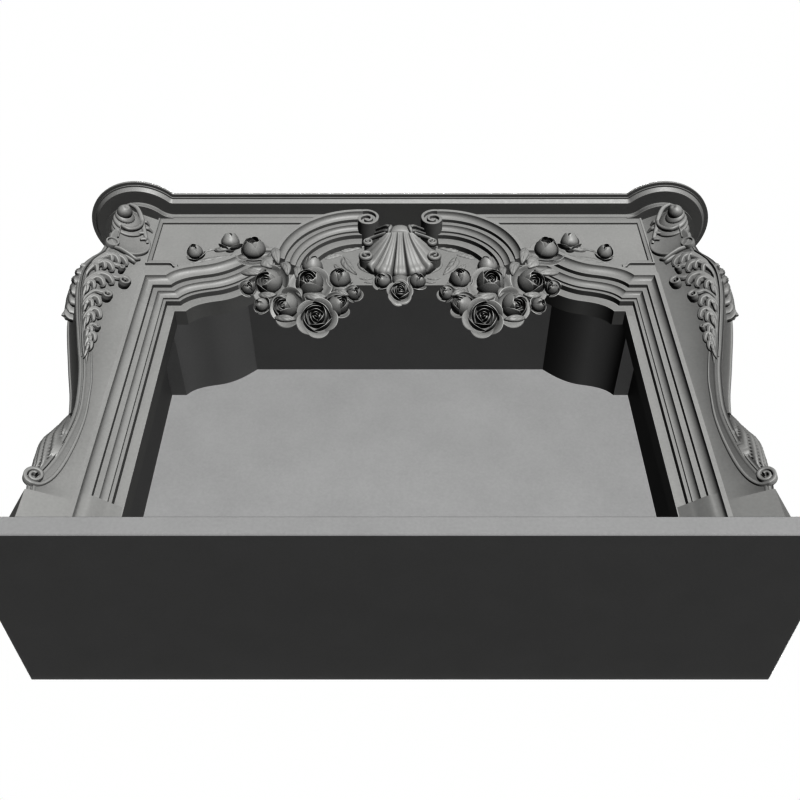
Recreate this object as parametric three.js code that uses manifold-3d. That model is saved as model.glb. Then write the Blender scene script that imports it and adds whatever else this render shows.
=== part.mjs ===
// A carved stone fireplace mantel: two jambs with canted scroll consoles, a lintel with a broken
// arch, a shell and hanging roses, a moulded shelf with round corners, a firebox and a hearth slab.
// Millimetres, +Z up, the front facing -Y. The origin is on the floor, under the middle of the object.

import * as THREE from "three";
import { mergeVertices } from "three/addons/utils/BufferGeometryUtils.js";
import Module from "manifold-3d";

const wasm = await Module();
wasm.setup();

// Driving dimensions
const HEARTH_WIDTH = 1600;
const HEARTH_DEPTH = 517;
const HEARTH_HEIGHT = 43;
const HEARTH_CHAMFER = 2.5;
const BACK_Y = HEARTH_DEPTH / 2;
const JOINT_GAP = 0.3; // the bed of mortar between two stones

const FACE_Y = -151; // front plane of the surround
const LIP_DEPTH = 38; // how far the inner lip of the frame lies behind the face
const LIP_Y = FACE_Y + LIP_DEPTH;
const LIP_BACK_Y = -70;

const OPENING_HALF = 559;
const SPRING_Z = 798; // top of the straight sides of the opening
const SHOULDER_HALF = 531; // where the short level shoulder ends and the S-curve starts
const CROWN_Z = 901;
const CROWN_HALF = 359;
const BEARING_Z = 780; // the lintel rests on the jambs here
const FRAME_WIDTH = 92; // from the opening to the console
const CONSOLE_X = OPENING_HALF + FRAME_WIDTH;

const SOFFIT_Z = 1164;
const SHELF_TOP_Z = 1190;
const SHELF_HALF = 800;
const SHELF_FRONT_Y = -204;
const SHELF_OVERHANG = 53; // from the shelf's edge to the wall below it
const LOBE_X = 708;
const LOBE_Y = -101;
const LOBE_RADIUS = 141;

const CANT = THREE.MathUtils.degToRad(24); // the consoles turn forward by this angle
const CONSOLE_THICKNESS = 110;
const NECK_Z = SOFFIT_Z - 28; // underside of the round neck below each lobe
const PLINTH_Z = 165;
const STOP_Z = 179; // top of the scooped block that ends the frame's mouldings

// The frame moulding, from the opening outwards: [distance from the opening, depth behind the face]
const FRAME_PROFILE = [
  [0, LIP_DEPTH],
  [22.7, LIP_DEPTH],
  [22.7, 24.5],
  [30.5, 24.5],
  [30.5, 20],
  [41, 16],
  [44.8, 9],
  [57.9, 9],
  [57.9, 0],
  [72, -5],
  [77.2, -15],
  [88, -15],
  [88, 0],
  [FRAME_WIDTH, 0],
];

// The arch moulding, from its outer edge inwards: [distance from the outer edge, depth behind its front]
const ARCH_CENTRE = [-106.5, 934];
const ARCH_RADIUS = 215;
const ARCH_FRONT_Y = -177;
const ARCH_FROM = THREE.MathUtils.degToRad(176);
const ARCH_TO = THREE.MathUtils.degToRad(88);
const ARCH_PROFILE = [
  [0, 0],
  [10.3, 0],
  [14.5, 10],
  [26, 15],
  [26, 23],
  [39, 23],
  [42.5, 30],
  [53, 34],
  [53, 38.4],
  [64.4, 38.4],
  [64.4, 49.5],
  [89.4, 49.5],
];
const VOLUTE_CENTRE = [-87, 1108];

// The wall between the two scrolls steps back above the shell
const RECESS_HALF = 112;
const RECESS_Y = -88;
const RECESS_Z = 1062;

// The shelf's edge, from its soffit up to its top: [distance in from the edge, height above the soffit]
const SHELF_EDGE = [
  [19, 0],
  [11.5, 10.5],
  [8, 10.5],
  [8, 14.5],
  [0, 15],
  [0, 17.5],
  [2.5, 23.5],
  [8.5, SHELF_TOP_Z - SOFFIT_Z],
];

const BACK_PANEL_Y = BACK_Y - 40; // front of the slab behind the firebox
const FIREBOX_HALF = 627;
const FIREBOX_WALL = 40;
const FIREBOX_RISE = 40; // how far the firebox is higher than the opening
const FIREBOX_TOP_Z = 985;

const RETURN_OUTER_X = 738;
const RETURN_THICKNESS = 40;
const RETURN_FRONT_Y = -45;

// Solids

// A closed three.js geometry as a solid; shared corners are merged and faces turned to point out.
function solid(geometry) {
  const bare = geometry.index ? geometry.toNonIndexed() : geometry.clone();
  bare.deleteAttribute("normal");
  bare.deleteAttribute("uv");
  const merged = mergeVertices(bare, 1e-3);
  const corners = merged.attributes.position.array;
  const faces = [];
  let volume = 0;
  for (let i = 0; i < merged.index.count; i += 3) {
    const [a, b, c] = merged.index.array.slice(i, i + 3);
    if (a === b || b === c || c === a) continue;
    faces.push([a, b, c]);
    const [p, q, r] = [a, b, c].map((k) => new THREE.Vector3().fromArray(corners, 3 * k));
    volume += p.dot(q.cross(r));
  }
  if (volume < 0) faces.forEach((face) => face.reverse());
  const triVerts = new Uint32Array(faces.flat());
  return new wasm.Manifold(new wasm.Mesh({ numProp: 3, vertProperties: corners, triVerts }));
}

// A skin over closed rings of points. The ends are closed by the profile's triangles, or by fans.
function skin(rings, profile = null) {
  const count = rings[0].length;
  const triangles = [];
  for (let i = 0; i + 1 < rings.length; i++)
    for (let j = 0; j < count; j++) {
      const k = (j + 1) % count;
      triangles.push(rings[i][j], rings[i + 1][j], rings[i + 1][k]);
      triangles.push(rings[i][j], rings[i + 1][k], rings[i][k]);
    }
  const flat = profile?.map(([x, y]) => new THREE.Vector2(x, y));
  const caps = flat && THREE.ShapeUtils.triangulateShape(flat, []);
  const cap = (ring, turned) => {
    if (caps) {
      for (const face of caps) triangles.push(...(turned ? [...face].reverse() : face).map((k) => ring[k]));
      return;
    }
    const middle = ring.reduce((sum, p) => sum.map((v, k) => v + p[k] / count), [0, 0, 0]);
    for (let j = 0; j < count; j++) {
      const k = (j + 1) % count;
      triangles.push(middle, ring[turned ? k : j], ring[turned ? j : k]);
    }
  };
  cap(rings[0], signedArea(flat) < 0);
  cap(rings.at(-1), signedArea(flat) >= 0);
  const geometry = new THREE.BufferGeometry();
  geometry.setAttribute("position", new THREE.Float32BufferAttribute(triangles.flat(), 3));
  return solid(geometry);
}

function signedArea(points) {
  return points ? THREE.ShapeUtils.area(points) : 1;
}

// An outline in the front view, [x, z] points, as a plate from one depth to another.
function plate(outline, frontY, backY) {
  const shape = new THREE.Shape(outline.map(([x, z]) => new THREE.Vector2(x, z)));
  const geometry = new THREE.ExtrudeGeometry(shape, { depth: backY - frontY, bevelEnabled: false });
  geometry.rotateX(Math.PI / 2).translate(0, backY, 0);
  return solid(geometry);
}

// A plan outline, [x, y] points, as a prism from one height to another.
function prism(outline, lowZ, highZ) {
  const shape = new THREE.Shape(outline.map(([x, y]) => new THREE.Vector2(x, y)));
  const geometry = new THREE.ExtrudeGeometry(shape, { depth: highZ - lowZ, bevelEnabled: false });
  return solid(geometry.translate(0, 0, lowZ));
}

function box(low, high) {
  const size = high.map((v, k) => v - low[k]);
  const geometry = new THREE.BoxGeometry(...size);
  return solid(geometry.translate(...low.map((v, k) => v + size[k] / 2)));
}

const joined = (solids) => solids.reduce((sum, next) => sum.add(next));

// A solid's faces as a three.js geometry.
function geometryOf(made) {
  const { vertProperties, triVerts } = made.getMesh();
  const geometry = new THREE.BufferGeometry();
  geometry.setAttribute("position", new THREE.BufferAttribute(vertProperties, 3));
  geometry.setIndex(new THREE.BufferAttribute(triVerts, 1));
  return geometry;
}

const moved = (made, matrix) => solid(geometryOf(made).applyMatrix4(matrix));
const mirrored = (made) => moved(made, new THREE.Matrix4().makeScale(-1, 1, 1));
const bothSides = (made) => made.add(mirrored(made));

// A moulding: each point of the profile, [distance, y], follows the path drawn at its own distance.
function moulding(pathAt, profile) {
  const paths = profile.map(([out]) => pathAt(out));
  const rings = paths[0].map((_, i) =>
    profile.map(([, y], j) => {
      const [x, z] = paths[j][i];
      return [x, y, z];
    }),
  );
  return skin(rings, profile);
}

// Curves

const sampled = (curve, steps) => curve.getPoints(steps).map((p) => p.toArray());

// The top of the opening on its left side, from the level shoulder's end to the crown, drawn at a
// distance outside the opening: two curves that make an S.
const SHOULDER_SHIFT = 0.7; // how far the shoulder's end moves out with each millimetre of distance
const CROWN_SHIFT = 0.41;

function openingCurve(out, steps) {
  const start = new THREE.Vector2(-SHOULDER_HALF - SHOULDER_SHIFT * out, SPRING_Z + out);
  const end = new THREE.Vector2(-CROWN_HALF - CROWN_SHIFT * out, CROWN_Z + out);
  const span = end.x - start.x;
  const from = (share, rise) => start.clone().add(new THREE.Vector2(share * span, rise));
  const middle = from(0.44, 40);
  const lower = new THREE.CubicBezierCurve(start, from(0.08, 22), from(0.21, 32), middle);
  const upper = new THREE.CubicBezierCurve(middle, from(0.67, 48), from(0.82, 70), end);
  return [...sampled(lower, steps), ...sampled(upper, steps).slice(1)];
}

// The frame's path up one side and over the top, at a distance outside the opening.
const FRAME_END_X = -250;
const framePath = (out) => [
  [-OPENING_HALF - out, BEARING_Z],
  [-OPENING_HALF - out, SPRING_Z + out],
  ...openingCurve(out, 4),
  [FRAME_END_X, CROWN_Z + out],
];

// The arch's path from its foot to its top, at a distance inside its outer edge.
function archPath(inset, from = ARCH_FROM, steps = 7) {
  return Array.from({ length: steps + 1 }, (_, i) => {
    const angle = from + ((ARCH_TO - from) * i) / steps;
    const radius = ARCH_RADIUS - inset;
    return [ARCH_CENTRE[0] + radius * Math.cos(angle), ARCH_CENTRE[1] + radius * Math.sin(angle)];
  });
}

// Carved ornament

// Places a carving that was made facing +Z: it faces the given way, at the given point.
function placed(made, facing, point) {
  const turn = new THREE.Quaternion().setFromUnitVectors(
    new THREE.Vector3(0, 0, 1),
    new THREE.Vector3(...facing).normalize(),
  );
  const matrix = new THREE.Matrix4().compose(
    new THREE.Vector3(...point),
    turn,
    new THREE.Vector3(1, 1, 1),
  );
  return moved(made, matrix);
}

// A solid of rings round +Z: each row is [height, radius, depth of its petal lobes], as shares of the size.
function turned(rows, size, sides, lobes) {
  const rings = rows.map(([height, radius, wave]) =>
    Array.from({ length: sides }, (_, k) => {
      const angle = (2 * Math.PI * k) / sides;
      const r = size * radius * (1 + wave * Math.cos(lobes * angle));
      return [r * Math.cos(angle), r * Math.sin(angle), size * height];
    }),
  );
  return skin(rings);
}

const OPEN_ROSE = [
  [-0.7, 0.4, 0],
  [0.1, 1.06, 0.1],
  [0.08, 0.78, 0],
  [0.62, 0.58, 0],
  [0.5, 0.2, 0],
];
const ROSE_BUD = [
  [-0.8, 0.35, 0],
  [-0.35, 0.9, 0.06],
  [0.25, 0.86, 0],
  [0.85, 0.42, 0.1],
];

const rose = (size) => turned(OPEN_ROSE, size, 10, 5);
const bud = (size) => turned(ROSE_BUD, size, 6, 3);

// A leaf or curl: flat oval rings along a bent line, wide in the middle and pointed at its end.
function leaf(points, width, thickness, across, steps = 4, sides = 5) {
  const line = new THREE.CatmullRomCurve3(points.map((p) => new THREE.Vector3(...p)));
  const flat = new THREE.Vector3(...across).normalize();
  const rings = line.getPoints(steps).map((centre, i) => {
    const along = line.getTangent(i / steps);
    const side = flat.clone().addScaledVector(along, -flat.dot(along)).normalize();
    const rise = along.clone().cross(side);
    const share = 0.25 + 0.75 * Math.sin(Math.PI * (0.15 + (0.8 * i) / steps));
    return Array.from({ length: sides }, (_, k) => {
      const angle = (2 * Math.PI * k) / sides;
      const point = centre.clone().addScaledVector(side, (Math.cos(angle) * width * share) / 2);
      return point.addScaledVector(rise, (Math.sin(angle) * thickness * share) / 2).toArray();
    });
  });
  return skin(rings);
}

// The fluted shell over the middle of the lintel: a fan of ribs that leans back from its neck to its rim.
const SHELL_NECK_HALF = 37;
const SHELL_NECK = { y: -192, z: 1022 };
const SHELL_RIM_Y = -137;
const SHELL_RIM = [[0, 914], [35, 921], [69, 930], [104, 963], [112, 1006]];
const SHELL_RIBS = 7;
const SHELL_RIB_STEPS = 3; // points across one rib

// The rim on one side at a number of ribs from the middle: [across, height]
function shellRim(ribs) {
  const place = ribs > 3 ? 3 + (ribs - 3) * 2 : ribs;
  const k = Math.min(Math.floor(place), SHELL_RIM.length - 2);
  return SHELL_RIM[k].map((v, i) => THREE.MathUtils.lerp(v, SHELL_RIM[k + 1][i], place - k));
}

function shell() {
  const across = SHELL_RIBS * SHELL_RIB_STEPS;
  const reach = [0, 0.3, 0.65, 1];
  const foot = LIP_Y + 4;
  const rings = Array.from({ length: across + 1 }, (_, i) => {
    const ribs = SHELL_RIBS * (i / across - 0.5);
    const phase = 2 * Math.abs(ribs - Math.round(ribs));
    const end = Math.sqrt(Math.max(0, 1 - phase * phase));
    const [x, z] = shellRim(Math.abs(ribs));
    const neck = (2 * SHELL_NECK_HALF * ribs) / SHELL_RIBS;
    const front = reach.map((t) => {
      const part = t * (0.9 + 0.1 * end);
      const flute = 9 * part * (1 - end);
      return [
        THREE.MathUtils.lerp(neck, Math.sign(ribs) * x, part ** 1.45),
        THREE.MathUtils.lerp(SHELL_NECK.y, SHELL_RIM_Y, part) - 5 * Math.sin(Math.PI * part) + flute,
        THREE.MathUtils.lerp(SHELL_NECK.z, z, part ** 0.92),
      ];
    });
    const [top, rim] = [front[0], front.at(-1)];
    return [...front, [rim[0], foot, rim[2] + 3], [top[0], foot, top[2]]];
  });
  const collar = box([-26, SHELL_NECK.y + 6, SHELL_NECK.z - 4], [26, RECESS_Y + 2, SHELL_NECK.z + 34]);
  return skin(rings, [...reach.map((t) => [t, 20 - 8 * t]), [1, 0], [0, 0]]).add(collar);
}

// The scroll at the end of the arch: its radius falls from the arch's top to the eye.
function volute() {
  const sides = 14;
  const radius = (turn) => 26 + 17 * Math.max(0, 1 - turn * 2.4) ** 1.5;
  const outline = Array.from({ length: sides }, (_, k) => {
    const angle = (2 * Math.PI * k) / sides;
    const r = radius(k / sides);
    return [VOLUTE_CENTRE[0] + r * Math.sin(angle), VOLUTE_CENTRE[1] + r * Math.cos(angle)];
  });
  const eye = outline.map(([x, z]) => [
    VOLUTE_CENTRE[0] + (x - VOLUTE_CENTRE[0]) * 0.45,
    VOLUTE_CENTRE[1] + (z - VOLUTE_CENTRE[1]) * 0.45,
  ]);
  return plate(outline, ARCH_FRONT_Y + 6, RECESS_Y + 1).add(plate(eye, ARCH_FRONT_Y, LIP_Y));
}

function arch() {
  const front = ARCH_PROFILE.map(([inset, depth]) => [inset, ARCH_FRONT_Y + depth]);
  const profile = [...front, [front.at(-1)[0], LIP_Y + 1], [0, LIP_Y + 1]];
  return moulding(archPath, profile).add(volute());
}

// The roses of one side: [kind, x, y, z, size, the way it faces]
const GARLAND = [
  [rose, -325, -172, 840, 38, [-0.37, -0.8, -0.45]],
  [rose, -224, -174, 838, 39, [-0.04, -0.94, -0.3]],
  [rose, -197, -178, 700, 36, [0.05, -0.82, -0.57]],
  [rose, -277, -168, 754, 38, [-0.4, -0.74, -0.54]],
  [bud, -150, -168, 862, 30, [0.1, -0.98, -0.08]],
  [bud, -147.5, -166, 762, 31, [0.5, -0.8, -0.3]],
  [bud, -112.5, -158, 816, 21, [0.3, -0.85, -0.4]],
  [bud, -377, -152, 844, 21, [0.2, -0.85, -0.4]],
  [bud, -337.5, -158, 769, 21, [-0.4, -0.8, -0.35]],
  [bud, -226, -142, 948, 29, [0.1, -0.9, 0.42]],
  [rose, -376, -174, 974, 37, [0, -0.98, 0.2]],
  [bud, -441, -170, 1013, 28, [0, -0.83, 0.55]],
  [bud, -526, -168, 971, 25, [-0.1, -0.97, 0.1]],
];

// The carved bed behind the roses that holds one garland to the lintel, and the leaves round it.
const BED_FRONT_Y = -152;
const GARLAND_BED = [
  [-376, 850],
  [-337, 772],
  [-277, 758],
  [-196, 700],
  [-147, 766],
  [-113, 822],
  [-140, 925],
  [-300, 925],
];

function garlandBed() {
  const stems = [
    [[-345, -160, 930], [-420, -154, 960], [-470, -153, 957], [-560, -151, 945]],
    [[-420, -152, 958], [-438, -158, 985], [-441, -164, 1000]],
  ];
  const sprays = [
    [[-330, -158, 915], [-352, -172, 950], [-368, -172, 985]],
    [[-285, -150, 890], [-292, -168, 930], [-305, -182, 965]],
  ];
  return joined([
    plate(GARLAND_BED, BED_FRONT_Y, LIP_Y + 1),
    ...stems.map((line) => leaf(line, 22, 14, [0, 0, 1], 3, 4)),
    ...sprays.map((line) => leaf(line, 40, 12, [1, 0, 0.4], 3, 4)),
  ]);
}

function garland() {
  const roses = GARLAND.map(([kind, x, y, z, size, facing]) => placed(kind(size), facing, [x, y, z]));
  return garlandBed().add(joined(roses));
}

// The three roses under the shell.
function pendant() {
  const side = placed(bud(24), [-0.25, -0.9, -0.2], [-45, -152, 873]);
  const drop = plate([[-45, 880], [0, 815], [45, 880], [25, 920], [-25, 920]], BED_FRONT_Y + 4, LIP_Y + 1);
  return joined([bothSides(side), drop, placed(rose(32), [0, -0.9, -0.44], [0, -160, 816])]);
}

// Lintel

const PANEL = { left: -630, low: 944, high: 1113, rise: 8 };

// The raised border of a frieze panel, on the left side.
function panelBorder() {
  const { left, low, high, rise } = PANEL;
  const back = FACE_Y + 1;
  const bar = [
    [0, back],
    [0, FACE_Y - 1],
    [-7, FACE_Y - rise],
    [-16, FACE_Y - rise],
    [-16, back],
  ];
  const bed = [[0, back], [0, FACE_Y - 1], [-33, FACE_Y - rise], [-37, FACE_Y - 1], [-37, back]];
  const level = (z, from, to) => (out) => [[from, z + out], [to, z + out]];
  const upright = (out) => [[left - 14 - out * 0.6, high], [left - 14 - out * 0.6, low - 16]];
  return joined([
    moulding(level(high + 37, -215, left - 14), bed),
    moulding(level(low, -480, left - 14), bar),
    moulding(upright, bar),
  ]);
}

// The front field of the lintel on its left side, from the frame moulding up to the soffit.
function friezeField() {
  const overlap = FRAME_WIDTH - 6;
  const low = framePath(overlap).slice(0, -1);
  const foot = Math.PI - Math.asin((CROWN_Z + overlap - ARCH_CENTRE[1]) / ARCH_RADIUS);
  const top = [[ARCH_CENTRE[0], SOFFIT_Z], [-CONSOLE_X, SOFFIT_Z], [-CONSOLE_X, BEARING_Z]];
  return plate([...low, ...archPath(10, foot), ...top], FACE_Y, LIP_BACK_Y - 1);
}

function lintel() {
  const front = FRAME_PROFILE.map(([out, depth]) => [out, FACE_Y + depth]);
  const frame = moulding(framePath, [...front, [FRAME_WIDTH, LIP_BACK_Y - 2], [0, LIP_BACK_Y - 2]]);
  const edge = framePath(0);
  const top = [[0, SOFFIT_Z], [-CONSOLE_X, SOFFIT_Z], [-CONSOLE_X, BEARING_Z]];
  const wall = plate([...edge.slice(0, -1), [0, CROWN_Z], ...top], LIP_Y, LIP_BACK_Y);
  const lip = wall.subtract(box([-RECESS_HALF, LIP_Y - 5, RECESS_Z], [5, RECESS_Y, SHELF_TOP_Z]));
  const side = joined([lip, frame, friezeField(), panelBorder(), arch(), garland()]);
  const whole = bothSides(side).add(joined([shell(), pendant()]));
  const stone = box([-CONSOLE_X, -400, 0], [CONSOLE_X, LIP_BACK_Y, SOFFIT_Z - JOINT_GAP]);
  return whole.intersect(stone);
}

// Jambs: one is worked out on the left and mirrored

// A point of the canted console: out along its side, back through its thickness, and up.
function onConsole(out, back, z) {
  const [c, s] = [Math.cos(CANT), Math.sin(CANT)];
  return [-CONSOLE_X - out * c - back * s, FACE_Y - out * s + back * c, z];
}

// The console's outer edge: [height, distance out], an S from the plinth to the neck under the shelf.
const CONSOLE_EDGE = [
  [PLINTH_Z, 90],
  [190, 92],
  [215, 82],
  [260, 68],
  [320, 58],
  [385, 53],
  [440, 57],
  [520, 71],
  [600, 93],
  [720, 125],
  [780, 137],
  [830, 142],
  [870, 139],
  [900, 128],
  [930, 113],
  [960, 108],
  [1060, 92],
  [NECK_Z, 84],
];

// A plate in the console's side plane: an outline of [out, height] points between two depths.
function consolePlate(outline, front, back) {
  const ring = (depth) => outline.map(([out, z]) => onConsole(out, depth, z));
  return skin([ring(front), ring(back)], outline);
}

// The raised ribbon that follows the S and ends in the foot scroll.
function ribbon() {
  const width = 27;
  const edge = CONSOLE_EDGE.filter(([z]) => z > 200 && z < 900).map(([z, out]) => [out - 2, z]);
  const inner = edge.map(([out, z]) => [out - width, z]).reverse();
  return consolePlate([...edge, ...inner], -3, 4);
}

// A round scroll boss on the console's side.
function scrollBoss(out, z, radius, rise, sides = 8) {
  const ring = (r, depth) =>
    Array.from({ length: sides }, (_, k) => {
      const angle = (2 * Math.PI * k) / sides;
      return onConsole(out + r * Math.cos(angle), depth, z + r * Math.sin(angle));
    });
  return skin([ring(radius, 2), ring(radius, -rise), ring(radius * 0.55, -rise - 4)]);
}

// The snail shell under the shelf: a drum through the console, with rings that narrow and step forward
// to a ball, and the cup below it. Each ring: [out, height, radius, back, rise]
const SNAIL_RINGS = [
  [66, 1062, 45, CONSOLE_THICKNESS / 2, 6],
  [74, 1066, 38, 0, 15],
  [82, 1068, 29, 0, 27],
];
const SNAIL_BALL = { out: 87.5, z: 1067, rise: 40, radius: 19.5 };
const SNAIL_CUP = { out: 52, z: 1003, rise: 5, radius: 52 };

function snail() {
  const made = SNAIL_RINGS.map(([out, z, radius, back, rise], k) => {
    const sides = 9 - k;
    const ring = (r, depth) =>
      Array.from({ length: sides }, (_, j) => {
        const angle = (2 * Math.PI * j) / sides;
        return onConsole(out + r * Math.cos(angle), depth, z + r * Math.sin(angle));
      });
    return skin([ring(radius, back), ring(radius, -rise), ring(radius - 5, -rise - 3)]);
  });
  const { out, z, rise, radius } = SNAIL_BALL;
  const ball = new THREE.SphereGeometry(radius, 7, 5).translate(...onConsole(out, -rise, z));
  const cup = scrollBoss(SNAIL_CUP.out, SNAIL_CUP.z, SNAIL_CUP.radius, SNAIL_CUP.rise, 9);
  return joined([...made, cup, solid(ball)]);
}

// How far out the console's edge is at a height.
function edgeAt(z) {
  const k = CONSOLE_EDGE.findIndex(([height]) => height > z);
  const [[z0, w0], [z1, w1]] = [CONSOLE_EDGE[k - 1], CONSOLE_EDGE[k]];
  return w0 + ((w1 - w0) * (z - z0)) / (z1 - z0);
}

// The acanthus that rides down the console's edge: curls that turn inwards, one below the other.
const CURL_TIPS = [
  [24, 838],
  [56, 832],
  [55, 768],
  [68, 728],
  [62, 690],
  [58, 632],
  [66, 570],
];

function acanthus() {
  const curls = CURL_TIPS.map(([out, z]) => {
    const top = z + 52;
    const root = edgeAt(top) - 10;
    const line = [
      onConsole(root, -4, top),
      onConsole(THREE.MathUtils.lerp(root, out, 0.55), -14, top - 6),
      onConsole(out, -15, z + 16),
      onConsole(out + 7, -9, z),
    ];
    return leaf(line, 30, 20, [0, 0, 1], 3, 4);
  });
  const middle = CONSOLE_THICKNESS / 2;
  const spine = [925, 870, 800, 740, 690].map((z) => onConsole(edgeAt(z) + 2, middle, z));
  const foot = [350, 300, 260, 222].map((z) => onConsole(edgeAt(z) + 10, middle, z));
  const across = [-Math.sin(CANT), Math.cos(CANT), 0];
  return joined([...curls, leaf(spine, 96, 26, across, 5, 4), leaf(foot, 88, 32, across, 4, 4)]);
}

function consoleBody() {
  const edge = CONSOLE_EDGE.map(([z, out]) => [out, z]);
  const body = consolePlate([...edge, [-1, NECK_Z], [-1, PLINTH_Z]], 0, CONSOLE_THICKNESS);
  const [low, high] = [HEARTH_HEIGHT + JOINT_GAP, PLINTH_Z + 1];
  const plinth = consolePlate([[-1, low], [94, low], [94, high], [-1, high]], -2, CONSOLE_THICKNESS + 4);
  const radius = LOBE_RADIUS - SHELF_OVERHANG;
  const ring = new THREE.CylinderGeometry(radius, radius - 8, 30, 16);
  ring.rotateX(Math.PI / 2).translate(-LOBE_X, LOBE_Y, SOFFIT_Z - JOINT_GAP - 15);
  return joined([body, plinth, solid(ring)]);
}

// The upright of the frame, with the scooped stop that ends its mouldings above the hearth.
function frameUpright() {
  const front = FRAME_PROFILE.map(([out, depth]) => [-OPENING_HALF - out, FACE_Y + depth]);
  const section = [...front, [-CONSOLE_X, LIP_BACK_Y], [-OPENING_HALF, LIP_BACK_Y]];
  const upright = prism(section, HEARTH_HEIGHT + JOINT_GAP, BEARING_Z - JOINT_GAP);
  const scoop = new THREE.QuadraticBezierCurve(
    new THREE.Vector2(-OPENING_HALF - 77.2, FACE_Y - 15),
    new THREE.Vector2(-OPENING_HALF - 66, FACE_Y - 2),
    new THREE.Vector2(-OPENING_HALF - 3, LIP_Y),
  );
  const behind = [[-OPENING_HALF - 3, LIP_Y + 6], [-CONSOLE_X + 6, LIP_Y + 6], [-CONSOLE_X + 6, FACE_Y - 15]];
  return upright.add(prism([...sampled(scoop, 6), ...behind], HEARTH_HEIGHT + JOINT_GAP, STOP_Z));
}

// The stone behind the frame and the turned console, out to the side return.
function jambCore() {
  const back = RETURN_FRONT_Y - JOINT_GAP;
  const core = (innerX) => [
    [innerX, FACE_Y + 1],
    onConsole(12, 2, 0).slice(0, 2),
    onConsole(46, CONSOLE_THICKNESS - 6, 0).slice(0, 2),
    [-RETURN_OUTER_X, back],
    [-RETURN_OUTER_X + RETURN_THICKNESS, back],
    [-CONSOLE_X - 22, LIP_BACK_Y],
    [innerX, LIP_BACK_Y],
  ];
  const low = prism(core(-CONSOLE_X + 3), HEARTH_HEIGHT + JOINT_GAP, BEARING_Z - JOINT_GAP);
  return low.add(prism(core(-CONSOLE_X - JOINT_GAP), BEARING_Z - 1, SOFFIT_Z - JOINT_GAP));
}

function jamb() {
  const made = joined([
    frameUpright(),
    jambCore(),
    consoleBody(),
    ribbon(),
    scrollBoss(82, 198, 18, 9),
    scrollBoss(93, 973, 17, 10),
    snail(),
    acanthus(),
  ]);
  const lintelRoom = box([-CONSOLE_X - JOINT_GAP, -400, BEARING_Z - JOINT_GAP], [0, 0, SHELF_TOP_Z]);
  const behind = box([-SHELF_HALF, RETURN_FRONT_Y - JOINT_GAP, 0], [0, BACK_Y, SHELF_TOP_Z]);
  return made.subtract(lintelRoom).subtract(behind);
}

// Shelf, firebox, returns and hearth

// The shelf's plan: a straight front between two round lobes, and straight sides to the wall.
function shelfPlan(inset) {
  const radius = LOBE_RADIUS - inset;
  const side = SHELF_HALF - inset;
  const cusp = -Math.PI - Math.asin((SHELF_FRONT_Y + inset - LOBE_Y) / radius);
  const flank = Math.acos((side - LOBE_X) / radius);
  const steps = 14;
  const lobe = Array.from({ length: steps + 1 }, (_, k) => {
    const angle = cusp + ((flank - cusp) * k) / steps;
    return [LOBE_X + radius * Math.cos(angle), LOBE_Y + radius * Math.sin(angle)];
  });
  const right = [...lobe, [side, BACK_Y]];
  const left = right.map(([x, y]) => [-x, y]).reverse();
  return [...right, ...left];
}

function shelf() {
  const rings = SHELF_EDGE.map(([inset, rise]) =>
    shelfPlan(inset).map(([x, y]) => [x, y, SOFFIT_Z + rise]),
  );
  return skin(rings, shelfPlan(SHELF_EDGE[0][0]));
}

// The firebox lining: cheeks and a hood that follow the opening's curve, drawn wider and higher.
function fireboxLining() {
  const widen = FIREBOX_HALF - OPENING_HALF - FIREBOX_RISE;
  const curve = openingCurve(FIREBOX_RISE, 4).map(([x, z]) => [x - widen, z]);
  const left = [[-FIREBOX_HALF, SPRING_Z + FIREBOX_RISE], ...curve];
  const right = left.map(([x, z]) => [-x, z]).reverse();
  const floor = HEARTH_HEIGHT + JOINT_GAP;
  const outer = FIREBOX_HALF + FIREBOX_WALL;
  const section = [
    [-FIREBOX_HALF, floor],
    ...left,
    ...right,
    [FIREBOX_HALF, floor],
    [outer, floor],
    [outer, FIREBOX_TOP_Z],
    [-outer, FIREBOX_TOP_Z],
    [-outer, floor],
  ];
  return plate(section, LIP_BACK_Y + JOINT_GAP, BACK_PANEL_Y - JOINT_GAP);
}

// The plain slab at the back of the firebox, up to the shelf.
function backPanel() {
  const half = RETURN_OUTER_X - RETURN_THICKNESS - JOINT_GAP;
  const low = HEARTH_HEIGHT + JOINT_GAP;
  return box([-half, BACK_PANEL_Y, low], [half, BACK_Y, SOFFIT_Z - JOINT_GAP]);
}

// A plain slab that closes one side, from the console to the wall.
function sideReturn() {
  const inner = RETURN_OUTER_X - RETURN_THICKNESS;
  const low = HEARTH_HEIGHT + JOINT_GAP;
  return box([-RETURN_OUTER_X, RETURN_FRONT_Y, low], [-inner, BACK_Y, SOFFIT_Z - JOINT_GAP]);
}

function hearth() {
  const [x, y] = [HEARTH_WIDTH / 2, HEARTH_DEPTH / 2];
  const ring = (inset, z) => [
    [-x + inset, -y + inset, z],
    [x - inset, -y + inset, z],
    [x - inset, y - inset, z],
    [-x + inset, y - inset, z],
  ];
  const c = HEARTH_CHAMFER;
  return skin([ring(c, 0), ring(0, c), ring(0, HEARTH_HEIGHT - c), ring(c, HEARTH_HEIGHT)]);
}

// Scene graph

const limestone = new THREE.MeshStandardMaterial({ color: "#9f9f9f", roughness: 0.62, metalness: 0 });
const hearthstone = new THREE.MeshStandardMaterial({ color: "#9c9c9c", roughness: 0.55, metalness: 0 });
const lining = new THREE.MeshStandardMaterial({ color: "#979797", roughness: 0.75, metalness: 0 });

function node(name, made, material) {
  const geometry = geometryOf(made);
  geometry.computeVertexNormals();
  const mesh = new THREE.Mesh(geometry, material);
  mesh.name = name;
  return mesh;
}

const jambLeft = jamb();
const returnLeft = sideReturn();

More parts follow.
